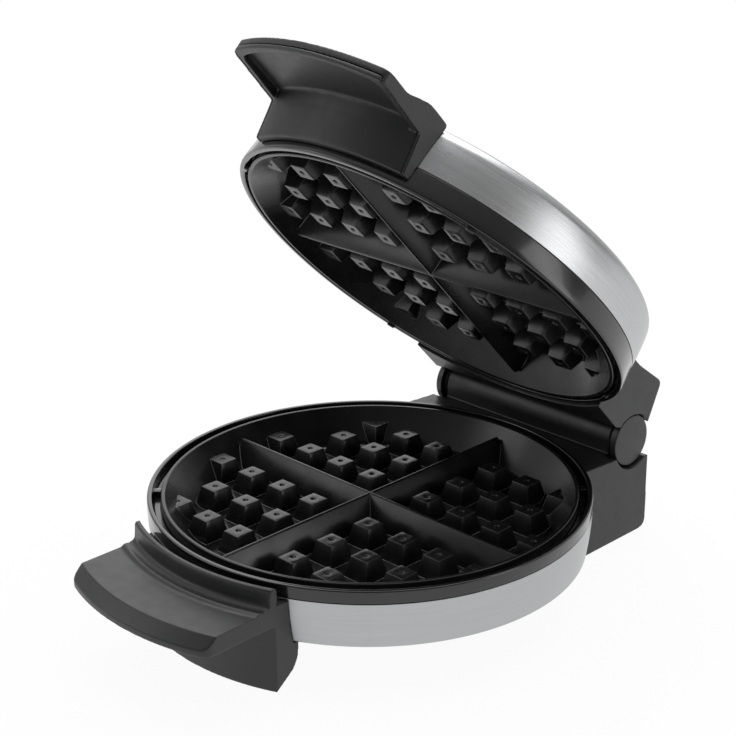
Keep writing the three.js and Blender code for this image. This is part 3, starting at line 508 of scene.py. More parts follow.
class Palette:
    """A material under construction: its node tree, and its shader's links."""

    def __init__(self, name: str) -> None:
        """Starts an empty material with one Principled shader."""
        self.material = bpy.data.materials.new(name)
        self.material.use_nodes = True
        self.tree = self.material.node_tree
        self.tree.nodes.clear()
        self.shader = self.add("ShaderNodeBsdfPrincipled")
        self.add("ShaderNodeOutputMaterial", {"Surface": self.shader.outputs[0]})
        self.where = self.add("ShaderNodeTexCoord").outputs["Object"]

    def add(self, kind: str, inputs: dict | None = None, **settings: Any) -> bpy.types.Node:
        """Adds a node of any kind, with its settings, and its inputs as values or links.

        Args:
            kind: The node's type.
            inputs: Values or output sockets by input name or number.
            settings: The node's own properties.

        Returns:
            The node.
        """
        node = self.tree.nodes.new(kind)
        for name, value in settings.items():
            setattr(node, name, value)
        for name, value in (inputs or {}).items():
            if isinstance(value, bpy.types.NodeSocket):
                self.tree.links.new(value, node.inputs[name])
            else:
                node.inputs[name].default_value = value
        return node

    def reckon(self, how: str, first: Any, second: Any) -> Any:
        """Works out two values into one."""
        return self.add("ShaderNodeMath", {0: first, 1: second}, operation=how).outputs[0]

    def clouds(self, size: float, layers: float, most: float, first: str, second: str) -> tuple[Any, Any]:
        """Gives soft patches and, mixed by them, two sRGB colours.

        Args:
            size: Size of a patch in millimetres.
            layers: Finer layers in the patches.
            most: The largest share of the second colour.
            first: The colour between the patches.
            second: The colour of the patches.

        Returns:
            The patches' socket and the colour's socket.
        """
        patches = self.spots(size, layers)
        return patches, self.blend(self.spread(patches, 0, most), linear(first), linear(second))

    def spots(self, size: float, detail: float = 2, place: bpy.types.NodeSocket | None = None) -> Any:
        """Gives noise whose patches are about the given size in millimetres."""
        vector = self.where if place is None else place
        scale = 1 / (size * MILLIMETRE)
        noise = self.add("ShaderNodeTexNoise", {"Vector": vector, "Scale": scale, "Detail": detail})
        return noise.outputs["Fac"]

    def spread(self, value: Any, low: float, high: float, at: tuple[float, float] = (0.3, 0.7)) -> Any:
        """Maps a pattern onto a range of values."""
        inputs = {"Value": value, "From Min": at[0], "From Max": at[1], "To Min": low, "To Max": high}
        return self.add("ShaderNodeMapRange", inputs).outputs["Result"]

    def blend(self, share: Any, first: Any, second: Any) -> Any:
        """Mixes two colours by a share."""
        inputs = {"Factor": share, 6: first, 7: second}
        return self.add("ShaderNodeMix", inputs, data_type="RGBA").outputs[2]

    def relief(self, height: Any, depth: float, below: Any = None) -> Any:
        """Adds relief of the given depth in millimetres, on top of another where there is one."""
        inputs = {"Height": height, "Strength": 1.0, "Distance": depth * MILLIMETRE}
        if below is not None:
            inputs["Normal"] = below
        return self.add("ShaderNodeBump", inputs).outputs["Normal"]

    def edges(self, reach: float) -> Any:
        """Gives 1 along edges, out to the given reach in millimetres, and 0 on open faces."""
        soft = self.add("ShaderNodeBevel", {"Radius": reach * MILLIMETRE}, samples=6).outputs[0]
        plain = self.add("ShaderNodeNewGeometry").outputs["Normal"]
        match = self.add("ShaderNodeVectorMath", {0: soft, 1: plain}, operation="DOT_PRODUCT")
        return self.spread(match.outputs["Value"], 1, 0, (0.8, 0.985))

    def dress(self, **inputs: Any) -> bpy.types.Material:
        """Sets or links the shader's inputs, with underscores for spaces."""
        for name, value in inputs.items():
            socket = self.shader.inputs[name.replace("_", " ")]
            if isinstance(value, bpy.types.NodeSocket):
                self.tree.links.new(value, socket)
            else:
                socket.default_value = value
        return self.material


@dataclass(frozen=True)
class BrushedSteel:
    """Sheet steel brushed round the body: hairlines along the sheet, a glow that runs across them."""

    name: str
    colour: str
    dark: str
    roughness: float
    opening: float
    axis: Vector
    hinge: Vector
    stretch: float = 0.75
    hair_width: float = 0.14
    hair_length: float = 16
    hair_depth: float = 0.0009
    streak_width: float = 0.7
    streak_length: float = 40
    bright: float = 0.015
    dull: float = 0.025
    glitter: float = 0.03

    def material(self) -> bpy.types.Material:
        """Builds the material from its sizes."""
        make = Palette(self.name)
        shut = make.add("ShaderNodeVectorRotate", {
            "Vector": make.where, "Center": self.hinge, "Angle": self.opening,
        }, rotation_type="X_AXIS").outputs[0]
        near = make.add("ShaderNodeVectorMath", {0: shut, 1: self.axis}, operation="SUBTRACT").outputs[0]
        parts = make.add("ShaderNodeSeparateXYZ", {"Vector": near})
        flat = make.add("ShaderNodeCombineXYZ", {"X": parts.outputs["X"], "Y": parts.outputs["Y"]})
        out = make.add("ShaderNodeVectorMath", {0: flat.outputs[0]}, operation="LENGTH").outputs["Value"]
        across = make.reckon("ADD", out, parts.outputs["Z"])
        hairs = self.lines(make, parts, across, self.hair_length, self.hair_width)
        streaks = self.lines(make, parts, across, self.streak_length, self.streak_width)
        tone = make.blend(make.spread(streaks, 0, 1), linear(self.dark), linear(self.colour))
        shine = make.spread(streaks, self.roughness - self.bright, self.roughness + self.dull)
        glint = make.spread(hairs, -self.glitter, self.glitter)
        return make.dress(
            Base_Color=tone, Metallic=1.0, Roughness=make.reckon("ADD", shine, glint),
            Anisotropic=self.stretch, Tangent=self.tangent(make, parts),
            Normal=make.relief(hairs, self.hair_depth),
        )

    def tangent(self, make: Palette, parts: Any) -> Any:
        """Gives the direction of the brushing, round the body's own axis, in the scene's space."""
        minus = make.reckon("MULTIPLY", parts.outputs["Y"], -1.0)
        around = make.add("ShaderNodeCombineXYZ", {"X": minus, "Y": parts.outputs["X"]}).outputs[0]
        opened = make.add("ShaderNodeVectorRotate", {
            "Vector": around, "Angle": -self.opening,
        }, rotation_type="X_AXIS").outputs[0]
        return make.add("ShaderNodeVectorTransform", {
            "Vector": opened,
        }, vector_type="VECTOR", convert_from="OBJECT", convert_to="WORLD").outputs[0]

    @staticmethod
    def lines(make: Palette, parts: Any, across: Any, length: float, width: float) -> Any:
        """Gives noise drawn out along the brushing direction.

        Args:
            make: The material under construction.
            parts: The separated coordinates.
            across: The coordinate across the hairlines.
            length: Length of a line in millimetres.
            width: Its width in millimetres.

        Returns:
            The pattern's socket.
        """
        def scaled(value: Any, size: float) -> Any:
            """Counts a coordinate in lines of the given size."""
            return make.reckon("DIVIDE", value, size * MILLIMETRE)

        vector = make.add("ShaderNodeCombineXYZ", {
            "X": scaled(parts.outputs["X"], length), "Y": scaled(parts.outputs["Y"], length),
            "Z": scaled(across, width),
        })
        noise = make.add("ShaderNodeTexNoise", {"Vector": vector.outputs[0], "Scale": 1.0, "Detail": 3.0})
        return noise.outputs["Fac"]


@dataclass(frozen=True)
class MouldedPlastic:
    """Moulded plastic with a fine spark grain: an even body colour, a soft glow and a dry touch."""

    name: str
    colour: str
    pale: str
    roughness: float
    grain: float = 0.28
    depth: float = 0.012
    swell: float = 0.05
    coat: float = 0.0
    cloud: float = 24
    rub: float = 5

    def material(self) -> bpy.types.Material:
        """Builds the material from its sizes."""
        make = Palette(self.name)
        grain = make.spots(self.grain, 3)
        clouds, tone = make.clouds(self.cloud, 3, 0.6, self.colour, self.pale)
        speck = make.blend(make.spread(grain, 0, 0.35, (0.5, 0.8)), tone, linear(self.pale))
        shine = make.spread(make.spots(self.rub, 4), self.roughness - 0.04, self.roughness + 0.05)
        swell = make.relief(clouds, self.swell)
        return make.dress(
            Base_Color=speck, Roughness=shine, IOR=1.5, Normal=make.relief(grain, self.depth, swell),
            Coat_Weight=self.coat, Coat_Roughness=0.12,
        )


@dataclass(frozen=True)
class NonStickCoat:
    """Cast plate under a sprayed non-stick coat: near black, satin glow, fine orange peel; edges painted as
    highlight and wear.
    """

    name: str
    colour: str = "#161616"
    pale: str = "#242424"
    roughness: float = 0.25
    peel: float = 0.7
    speck: float = 0.12
    edge: float = 0.5
    edge_highlight_and_wear: str = "#a2a2a0"
    dust: str = "#4a4a4a"
    cloud: float = 18

    def material(self) -> bpy.types.Material:
        """Builds the material from its sizes."""
        make = Palette(self.name)
        peel = make.spots(self.peel, 2)
        speck = make.spots(self.speck, 2)
        clouds, tone = make.clouds(self.cloud, 4, 0.7, self.colour, self.pale)
        dust = make.blend(make.spread(speck, 0, 0.5, (0.62, 0.8)), tone, linear(self.dust))
        # Paler along every edge: a painted highlight on the edges, together with worn coat.
        edge_lit_and_worn = make.blend(make.edges(self.edge), dust, linear(self.edge_highlight_and_wear))
        shine = make.spread(clouds, self.roughness - 0.05, self.roughness + 0.08)
        fine = make.relief(speck, 0.003, make.relief(peel, 0.012))
        return make.dress(Base_Color=edge_lit_and_worn, Roughness=shine, IOR=1.45, Normal=fine)


@dataclass(frozen=True)
class PlainMetal:
    """Bare or plated metal of small inner pieces: rolled or drawn, with faint stains."""

    name: str
    colour: str
    stain: str
    roughness: float
    grain: float = 0.4
    cloud: float = 9

    def material(self) -> bpy.types.Material:
        """Builds the material from its sizes."""
        make = Palette(self.name)
        tone = make.clouds(self.cloud, 4, 0.8, self.colour, self.stain)[1]
        grain = make.spots(self.grain, 2)
        shine = make.spread(grain, self.roughness - 0.06, self.roughness + 0.08)
        return make.dress(Base_Color=tone, Metallic=1.0, Roughness=shine, Normal=make.relief(grain, 0.006))


@dataclass(frozen=True)
class DullSolid:
    """Rubber, ceramic or a woven sleeve: no metal, a matt surface with a visible tooth."""

    name: str
    colour: str
    pale: str
    roughness: float
    tooth: float
    depth: float
    cloud: float = 12

    def material(self) -> bpy.types.Material:
        """Builds the material from its sizes."""
        make = Palette(self.name)
        tooth = make.spots(self.tooth, 3)
        tone = make.clouds(self.cloud, 3, 1, self.colour, self.pale)[1]
        shine = make.spread(tooth, self.roughness - 0.06, self.roughness + 0.06)
        return make.dress(Base_Color=tone, Roughness=shine, IOR=1.5, Normal=make.relief(tooth, self.depth))


@dataclass(frozen=True)
class LampLens:
    """A red translucent lens: clear plastic tinted through, with moulding swirls."""

    name: str = "tinted_lens"
    colour: str = "#8f1710"
    pale: str = "#b8281d"
    cloud: float = 2.5

    def material(self) -> bpy.types.Material:
        """Builds the material from its sizes."""
        make = Palette(self.name)
        swirl, tone = make.clouds(self.cloud, 3, 1, self.colour, self.pale)
        shine = make.spread(swirl, 0.1, 0.18)
        return make.dress(
            Base_Color=tone, Roughness=shine, IOR=1.49, Transmission_Weight=0.5,
            Normal=make.relief(swirl, 0.01),
        )


# Sub-assemblies


@dataclass(frozen=True)
class GridPlate:
    """A cast grid plate, drawn hollow side up with its rim on Z = 0: a bowl, two ridges, rows of studs."""

    radius: float = 92.4
    depth: float = 16
    rim: float = 1.8
    floor: float = 79.5
    wall: float = 2.5
    flange_drop: float = 7.1
    flange: float = 1.2
    flange_reach: float = 2.8
    ridge_drop: float = 3.8
    ridge_crest: float = 1.5
    ridge_base: float = 14
    ridge_reach: float = 86
    first_x: float = 17.3
    first_y: float = 18.4
    pitch_x: float = 20.7
    pitch_y: float = 22
    stud_top: float = 9
    stud_base: float = 13.6
    stud_drop: float = 6.5
    stud_foot: float = 0.2
    stud_sides: int = 16
    rows: int = 4
    reach: float = 85.8
    dimple: float = 1.25
    dimple_depth: float = 0.8
    edge: float = 0.6
    quarters: tuple[tuple[int, int], ...] = ((-1, 1), (-1, -1), (1, -1))

    def bowl(self) -> Piece:
        """Builds the turned bowl with its rim and flange."""
        inner = self.radius - self.rim
        under = -self.depth - self.wall
        return turned("bowl", [
            (0, -self.depth), (self.floor, -self.depth, 2.5), (inner - 0.4, -0.9, 0.6),
            (inner + 0.2, 0, 0.5), (self.radius, 0, 0.6), (self.radius, -self.flange_drop),
            (self.radius + self.flange_reach, -self.flange_drop, 0.3),
            (self.radius + self.flange_reach, -self.flange_drop - self.flange, 0.3),
            (self.radius - self.wall, -self.flange_drop - self.flange), (self.floor + self.wall, under, 2),
            (0, under),
        ], rounds=5)

    def ridges(self) -> list[Piece]:
        """Builds the two roof-shaped ridges that cross in the middle."""
        low = -self.depth - self.wall / 2
        half = self.ridge_base / 2
        crest = self.ridge_crest / 2
        roof = [(-half, low), (half, low), (half, -self.depth), (crest, -self.ridge_drop),
                (-crest, -self.ridge_drop), (-half, -self.depth)]
        along = bevelled(prism("ridge", roof, -self.ridge_reach, self.ridge_reach, Axis.X), self.edge)
        return [along, turned_copy(along, Matrix.Rotation(math.pi / 2, 4, "Z"))]

    def stud(self, x: float, y: float) -> Piece:
        """Builds one square stud with a round dimple in its top.

        Args:
            x: Its middle.
            y: Its middle.

        Returns:
            A closed shell, its outer corner cut off where it would leave the bowl.
        """
        maker = bmesh.new()
        sides = self.stud_sides
        turns = [2 * math.pi * i / sides for i in range(sides)]

        def ring(half: float, height: float, square: bool) -> list[bmesh.types.BMVert]:
            """Adds a square or round ring of corners."""
            points = []
            for turn in turns:
                across = max(abs(math.cos(turn)), abs(math.sin(turn))) if square else 1
                point = (x + half * math.cos(turn) / across, y + half * math.sin(turn) / across, height)
                points.append(maker.verts.new(point))
            return points

        low = -self.depth - self.wall / 2
        top = -self.stud_drop
        rings = [
            ring(self.stud_base / 2 + self.stud_foot, low, True), ring(self.stud_top / 2, top, True),
            ring(self.dimple, top, False), ring(self.dimple * 0.8, top - self.dimple_depth * 0.7, False),
        ]
        maker.faces.new(rings[0])
        for first, second in zip(rings, rings[1:]):
            for i in range(sides):
                after = (i + 1) % sides
                maker.faces.new((first[i], first[after], second[after], second[i]))
        pit = maker.verts.new((x, y, top - self.dimple_depth))
        for i in range(sides):
            maker.faces.new((rings[3][i], rings[3][(i + 1) % sides], pit))
        away = Vector((x, y, 0)).normalized()
        cut = bmesh.ops.bisect_plane(
            maker, geom=[*maker.verts, *maker.edges, *maker.faces], plane_co=away * self.ridge_reach,
            plane_no=away, clear_outer=True,
        )
        edges = [one for one in cut["geom_cut"] if isinstance(one, bmesh.types.BMEdge)]
        if edges:
            bmesh.ops.holes_fill(maker, edges=edges)
        return bevelled(new_object("stud", maker), self.edge)

    def build(self, name: str) -> Piece:
        """Builds the whole plate."""
        pieces = [self.bowl(), *self.ridges()]
        for i in range(self.rows):
            for j in range(self.rows):
                x = self.first_x + self.pitch_x * i
                y = self.first_y + self.pitch_y * j
                if math.hypot(x, y) > self.reach:
                    continue
                one = self.stud(x, y)
                mirrors = [Matrix.Diagonal((across, along, 1, 1)) for across, along in self.quarters]
                pieces += [turned_copy(one, mirror) for mirror in mirrors]
                pieces.append(one)
        return shaded(joined(name, pieces))


@dataclass(frozen=True)
class BaseBody:
    """The base's round body: steel band, glossy bezel with its trough and pegs, pan and lower plate."""

    toe: float = 96.5
    waist: float = 98
    roll: float = 2.2
    ring: float = 2.2
    trough: float = 5
    floor: float = 1.8
    skirt: float = 5.2
    lean: float = 0.9
    edge: float = 0.9
    peg_width: float = 4
    peg_bite: float = 0.4
    peg_sink: float = 2
    pan_dish: float = 5.6
    pan_flat: float = 84
    pan_ribs: tuple[Point, ...] = ((22, 0.5), (23, 0), (62, 0), (63, 0.6), (70, 0.6), (71, 0))
    rib_round: float = 0.8
    pan_thick: float = 1.8
    pan_lip: float = 2

    def envelope(self, at: Places, gap: float) -> Piece:
        """Builds the outside of the round body grown by a gap, for cutting what fits against it."""
        dish = at.stand + FIT.clearance - self.pan_dish
        middle = (at.stand + at.band_top) / 2
        return revolve("base_envelope", [
            (0, dish - gap), (self.pan_flat, dish - gap), (self.toe - self.roll, at.stand - gap),
            (self.toe + gap, at.stand - gap), (self.waist + gap, middle),
            (at.base_radius + gap, at.band_top), (at.base_radius + gap, at.rim + FIT.over),
            (0, at.rim + FIT.over),
        ])

    def band(self, at: Places) -> Piece:
        """Builds the steel band: slightly waisted, its lower edge rolled under."""
        t = FIT.sheet
        middle = (at.stand + at.band_top) / 2
        return turned("band_skin", [
            (self.toe - self.roll, at.stand), (self.toe, at.stand, 1.1), (self.waist, middle, 8),
            (at.base_radius, at.band_top, 0.25), (at.base_radius - t, at.band_top),
            (self.waist - t, middle, 8), (self.toe - t, at.stand + t), (self.toe - self.roll, at.stand + t),
        ], rounds=8)

    def bezel(self, at: Places, plate: GridPlate) -> Piece:
        """Builds the glossy bezel ring with its round trough, and its four pegs."""
        inside = at.base_radius - self.ring
        trough = at.rim - self.trough
        floor = trough - self.floor
        skirt_out = at.base_radius - FIT.sheet - FIT.clearance
        skirt_in = plate.radius + plate.flange_reach + FIT.clearance
        floor_in = plate.radius + FIT.clearance
        seat = at.band_top + FIT.clearance
        outline = eased([
            (at.base_radius, seat, 0.2), (at.base_radius, at.rim, self.edge), (inside, at.rim, 0.7),
            (inside - 0.6, trough, 1.2), (floor_in, trough, 0.3), (floor_in, floor), (skirt_in, floor),
            (skirt_in, floor - self.skirt), (skirt_out - self.lean, floor - self.skirt), (skirt_out, seat),
        ])
        low = (floor_in, -self.peg_width / 2, trough - self.floor / 2)
        high = (inside + self.peg_bite, self.peg_width / 2, at.rim - self.peg_sink)
        return with_pegs("bezel_ring_with_pegs", revolve("bezel_ring", outline), low, high)

    def pan(self, at: Places) -> Piece:
        """Builds the bottom pan: a shallow pressed dish with a turned-up lip and stiffening rings."""
        dish = at.stand + FIT.clearance - self.pan_dish
        lip = at.stand + FIT.sheet + FIT.clearance
        mouth = self.toe - self.roll - FIT.clearance
        t = self.pan_thick
        return turned("bottom_pan", [
            (0, dish + self.pan_ribs[0][1]),
            *((out, dish + rise, self.rib_round) for out, rise in self.pan_ribs),
            (self.pan_flat, dish, 1.5), (mouth, at.stand, 1.5),
            (mouth, lip + self.pan_lip), (mouth - t, lip + self.pan_lip), (mouth - t, at.stand + t, 1),
            (self.pan_flat - t / 2, dish + t, 1), (0, dish + t),
        ])

    def build(self, at: Places) -> None:
        """Builds, dresses and hangs every piece of the base's round body."""
        plate = GridPlate()
        at.hang(shifted(plate.build("lower_grid"), 0, 0, at.rim), "base", "nonstick", "lower_plate")
        at.hang(self.band(at), "base", "band_steel", "base_band")
        at.hang(self.bezel(at, plate), "base", "bezel_plastic", "base_bezel")
        at.hang(self.pan(at), "base", "housing_plastic", "base_pan")


@dataclass(frozen=True)
class LowerHandle:
    """The lower handle: a curved lip, a flat flange with a sloped front and a leg on the table."""

    lip_in: float = 104.3
    lip_wall: float = 2.6
    lip_top: float = 1.2
    gap_floor: float = 0.9
    bead: float = 112
    bead_drop: float = 7.0
    top: float = 7.7
    thick: float = 8
    front: float = 139.5
    crease: float = 134.5
    side: float = 131.5
    corner: float = 8
    toe_round: float = 3
    wedge: float = 20
    wedge_steps: int = 720
    leg_front: float = 105.5
    leg_back: float = 84
    heel_y: float = 86.7
    heel_z: float = 7.9
    toe_y: float = 96.2
    toe_ease: float = 13
    foot_gap: float = 0.6
    wall: float = 3
    pad_width: float = 12
    pad_across: float = 24
    pad_depth: float = 3
    pad_height: float = 2
    pad_inset: float = 1.1
    pad_round: float = 0.5
    soft: int = 4

    def section(self, at: Places, body: BaseBody) -> Piece:
        """Builds the turned cross-section: gap floor, lip with its hollow outer face, bead and flange."""
        top = at.rim - self.top
        foot = top - self.thick
        far = self.front + self.corner
        lip_out = self.lip_in + self.lip_wall
        hollow = at.rim - self.bead_drop
        inner = body.toe - body.roll
        outline = eased([
            (inner, foot), (far, foot), (far, top), (self.bead + 3.2, top, 1.2),
            (self.bead + 2.0, top + 0.1, 1.0), (self.bead + 0.4, hollow + 0.4, 1.6),
            (self.bead - 1.6, hollow - 0.1, 2.2), (lip_out + 0.6, hollow + 0.6, 4.4),
            (lip_out, at.rim + self.lip_top, 1.1), (self.lip_in, at.rim + self.lip_top, 0.9),
            (self.lip_in, top + self.gap_floor, 0.8), (inner, top + self.gap_floor),
        ])
        return revolve("handle_moulding_lower", outline, DETAIL.ring * 2)

    def front_face(self, at: Places) -> Piece:
        """Builds the wedge that cuts the sloped front: it follows the arched crease."""
        top = at.rim - self.top
        foot = top - self.thick
        reach = self.front - self.crease
        half = FIT.handle_half
        sag = self.front - self.side
        radius = (half * half + sag * sag) / (2 * sag)
        centre = radius - self.front
        run = reach * self.thick / (self.thick - self.toe_round)
        crest = radius - reach
        outer = radius + self.wedge
        return shifted(revolve("front_slope", [
            (crest, top), (crest - reach / self.thick, top + FIT.over), (outer, top + FIT.over),
            (outer, foot - FIT.over), (crest + run, foot - FIT.over), (crest + run, foot),
        ], self.wedge_steps), 0, centre, 0)

    def leg(self, at: Places) -> Piece:
        """Builds the hollow leg below the flange."""
        top = at.rim - self.top
        half = FIT.handle_half
        far = self.front + self.corner
        shape = eased([
            (-self.leg_back, top), (-self.leg_back, self.toe_ease, 3), (-self.heel_y, self.heel_z, 2),
            (-self.toe_y, self.foot_gap), (-far, self.foot_gap), (-far, top),
        ])
        piece = prism("leg", shape, -half, half, Axis.X)
        carve(piece, drum("leg_round", self.leg_front, 0, top, DETAIL.ring * 2), Cut.KEEP)
        room = at.stand - self.wall
        hollow = prism("leg_hollow", [
            (-self.leg_back + FIT.over, room), (-self.leg_back + FIT.over, self.toe_ease),
            (-self.heel_y, self.heel_z + self.wall), (-self.toe_y - self.wall, self.wall * 2),
            (-far, self.wall * 2), (-far, room),
        ], -half + self.wall, half - self.wall, Axis.X)
        carve(hollow, drum("hollow_round", self.leg_front - self.wall, 0, top), Cut.KEEP)
        return carve(piece, hollow, Cut.TAKE)

    def pad_y(self) -> float:
        """Gives where the rubber feet start, just behind the leg's round face at their outer ends."""
        outer = self.pad_across + self.pad_width / 2
        return self.pad_inset - math.sqrt(self.leg_front ** 2 - outer ** 2)

    def pad(self, name: str, side: int, gap: float) -> Piece:
        """Builds one rubber foot, or with a gap the tool that cuts its seat.

        Args:
            name: The object's name.
            side: -1 for the left one, 1 for the right one.
            gap: How much larger than the foot the seat is, or 0 for the foot.

        Returns:
            A box on the table, the tool's one reaching below it.
        """
        y = self.pad_y()
        x = side * self.pad_across
        low = (x - self.pad_width / 2 - gap, y - gap, -FIT.over if gap else 0)
        high = (x + self.pad_width / 2 + gap, y + self.pad_depth + gap, self.pad_height + gap)
        return block(name, low, high)

    def build(self, at: Places, body: BaseBody) -> None:
        """Builds, dresses and hangs the handle."""
        half = FIT.handle_half
        top = at.rim - self.top
        plan = arched_front(half, self.front, self.side, self.corner, self.leg_back / 2)
        piece = self.section(at, body)
        low = top - self.thick - FIT.over
        high = at.rim + self.lip_top + FIT.over
        carve(piece, prism("handle_plan", plan, low, high, Axis.Z), Cut.KEEP)
        carve(piece, self.front_face(at), Cut.TAKE)
        carve(piece, self.leg(at), Cut.JOIN)
        carve(piece, body.envelope(at, FIT.clearance), Cut.TAKE)
        for side, _ in SIDES:
            carve(piece, self.pad("pad_seat", side, FIT.clearance), Cut.TAKE)
        at.hang(moulded(piece, self.soft), "base", "handle_plastic", "lower_handle")
        for side, word in SIDES:
            foot = bevelled(self.pad(f"leg_pad_{word}", side, 0), self.pad_round)
            at.hang(foot, "base", "foot_rubber", f"front_foot_{word}")


@dataclass(frozen=True)
class Hinge:
    """The hinge's round sizes: barrel, pin, end caps and the seat they turn in."""

    barrel: float = 10
    pin: float = 3
    play: float = 0.3
    cap: float = 12.15
    cap_depth: float = 3.2
    inset: float = 1.5
    edge: float = 0.6
    seat_gap: float = 1.3
    slot: float = 1.4
    wall: float = 5

    def rod(self, name: str, at: Places, first: float, last: float, radius: float) -> Piece:
        """Builds a cylinder along the hinge's axis, between two places along X."""
        low, high = sorted((first, last))
        return at.laid(drum(name, radius, low, high, DETAIL.ring // 2), 1)

    def bore(self, at: Places) -> Piece:
        """Builds the tool that drills the pin's hole across the whole width."""
        return self.rod("pin_hole", at, -FIT.housing_half, FIT.housing_half, self.pin + self.play)

    def caps(self, at: Places) -> None:
        """Builds the round caps on the hinge's two ends, with a fine chamfer and a shallow ring."""
        outer = FIT.housing_half - self.inset
        inner = outer - self.cap_depth
        pin_end = outer - self.cap_depth / 2
        bore = self.pin + FIT.clearance
        outline = [
            (0, outer), (0, pin_end + FIT.clearance), (bore, pin_end + FIT.clearance), (bore, inner),
            (self.cap, inner), (self.cap, outer, self.edge),
        ]
        for side, word in SIDES:
            piece = at.laid(turned(f"hinge_disc_{word}", outline), side)
            at.hang(piece, "base", "handle_plastic", f"hinge_cap_{word}")


@dataclass(frozen=True)
class RearHousing:
    """The hollow block behind the band that carries the hinge, with its feet and cord gland."""

    front_top: float = 44.8
    rear_top: float = 43.2
    ledge: float = 104
    rear_z: float = 38.5
    rear_y: float = 127
    foot_y: float = 127.5
    front_y: float = 78
    foot: float = 1.2
    wall: float = 3
    ease: float = 5
    tongue: float = 76
    tongue_half: float = 40
    tongue_thick: float = 3.2
    pad: float = 6
    pad_height: float = 3.4
    pad_x: float = 47
    pad_y: float = 119
    gland_z: float = 17
    gland_from: float = 110
    gland_to: float = 140
    gland_bore: float = 3.4
    gland_neck: float = 5.6
    gland_flange: float = 7.6
    gland_thick: float = 1.6
    soft: int = 3

    def bulk(self, at: Places, hinge: Hinge) -> Piece:
        """Builds the outside: the block with the round seats, and the barrel between the cheeks."""
        half = FIT.housing_half
        between = half - hinge.inset - hinge.wall - FIT.clearance
        roof = [
            (self.front_y, self.foot), (self.foot_y, self.foot, self.ease), (self.rear_y, self.rear_z, 0.8),
            (at.hinge_y, self.rear_z), (self.ledge, self.rear_top), (self.front_y, self.front_top),
        ]
        piece = prism("housing_moulding", eased(roof), -half, half, Axis.X)
        seat = hinge.rod("seat", at, -half - 1, half + 1, hinge.cap + hinge.seat_gap)
        carve(piece, seat, Cut.TAKE)
        back = at.hinge_y + hinge.barrel
        front = at.hinge_y - hinge.barrel
        middle = [
            (self.front_y, self.foot), (self.foot_y, self.foot, self.ease), (self.rear_y, self.rear_z, 0.8),
            (back, self.rear_z), (back, at.hinge_z), (front, at.hinge_z), (front, self.rear_top),
            (self.front_y, self.front_top),
        ]
        carve(piece, prism("housing_middle", eased(middle), -between, between, Axis.X), Cut.JOIN)
        return carve(piece, hinge.rod("barrel", at, -between, between, hinge.barrel), Cut.JOIN)

    def cavity(self, at: Places, hinge: Hinge) -> Piece:
        """Builds the hollow under the block, open at the bottom."""
        half = FIT.housing_half - self.wall
        seat_floor = at.hinge_z - hinge.cap - hinge.seat_gap - self.wall
        room = prism("housing_room", [
            (self.front_y, -FIT.over), (self.foot_y - self.wall, -FIT.over),
            (self.foot_y - self.wall, self.ease),
            (self.rear_y - self.wall, self.rear_z - self.wall), (at.hinge_y, seat_floor),
            (self.ledge - self.wall, self.rear_top - self.wall * 2),
            (self.front_y, self.front_top - self.wall),
        ], -half, half, Axis.X)
        radius = at.base_radius + FIT.clearance + self.wall
        return carve(room, drum("front_wall", radius, -self.ease, at.rim), Cut.TAKE)

    def post(self, side: int, radius: float, low: float, high: float) -> Piece:
        """Builds an upright cylinder where the rubber foot of one side sits."""
        return shifted(drum("post", radius, low, high, DETAIL.small), side * self.pad_x, self.pad_y, 0)

    def rearward(self, piece: Piece) -> Piece:
        """Lays an upright piece towards the rear, at the gland's height."""
        turn = Matrix.Rotation(-math.pi / 2, 4, "X")
        return placed(piece, Matrix.Translation((0, 0, self.gland_z)) @ turn)

    def gland(self, at: Places) -> None:
        """Builds the ribbed rubber gland in the rear wall."""
        start = self.foot_y - self.wall - FIT.over - self.gland_thick
        end = self.foot_y + FIT.clearance
        tip = end + self.gland_thick * 2
        piece = turned("rubber_gland", [
            (self.gland_bore, start), (self.gland_neck, start, 0.4), (self.gland_neck, end),
            (self.gland_flange, end, 0.4), (self.gland_flange, end + self.gland_thick, 0.6),
            (self.gland_neck, end + self.gland_thick, 0.4), (self.gland_neck - 0.5, tip, 0.6),
            (self.gland_bore, tip, 0.4),
        ], DETAIL.small)
        at.hang(self.rearward(piece), "base", "foot_rubber", "cord_gland")

    def feet(self, at: Places) -> None:
        """Builds the two rubber feet at the rear."""
        plug = self.pad - self.wall / 2
        tread = self.foot - FIT.clearance
        outline = [
            (0, 0), (self.pad, 0, 0.3), (self.pad, tread, 0.3), (plug, tread), (plug, self.pad_height, 0.5),
            (0, self.pad_height),
        ]
        for side, word in SIDES:
            piece = turned(f"rear_pad_{word}", outline, DETAIL.small)
            shifted(piece, side * self.pad_x, self.pad_y, 0)
            at.hang(piece, "base", "foot_rubber", f"rear_foot_{word}")

    def build(self, at: Places, body: BaseBody, hinge: Hinge) -> None:
        """Builds, dresses and hangs the housing with its small pieces."""
        piece = self.bulk(at, hinge)
        carve(piece, self.cavity(at, hinge), Cut.TAKE)
        seat = self.pad - self.wall / 2 + FIT.clearance
        for side, _ in SIDES:
            carve(piece, self.post(side, self.pad, self.foot, self.rear_z - self.wall - FIT.over), Cut.JOIN)
            carve(piece, self.post(side, seat, -FIT.over, self.pad_height + FIT.clearance), Cut.TAKE)
        shelf = at.stand - body.pan_dish
        low = (-self.tongue_half, self.tongue, shelf - self.tongue_thick)
        high = (self.tongue_half, at.base_radius + self.wall, shelf)
        carve(piece, block("tongue", low, high), Cut.JOIN)
        carve(piece, body.envelope(at, FIT.clearance), Cut.TAKE)
        carve(piece, hinge.bore(at), Cut.TAKE)
        radius = self.gland_neck + FIT.clearance
        hole = drum("gland_hole", radius, self.gland_from, self.gland_to, DETAIL.small)
        carve(piece, self.rearward(hole), Cut.TAKE)
        at.hang(moulded(piece, self.soft), "base", "housing_plastic", "rear_housing")
        self.gland(at)
        self.feet(at)


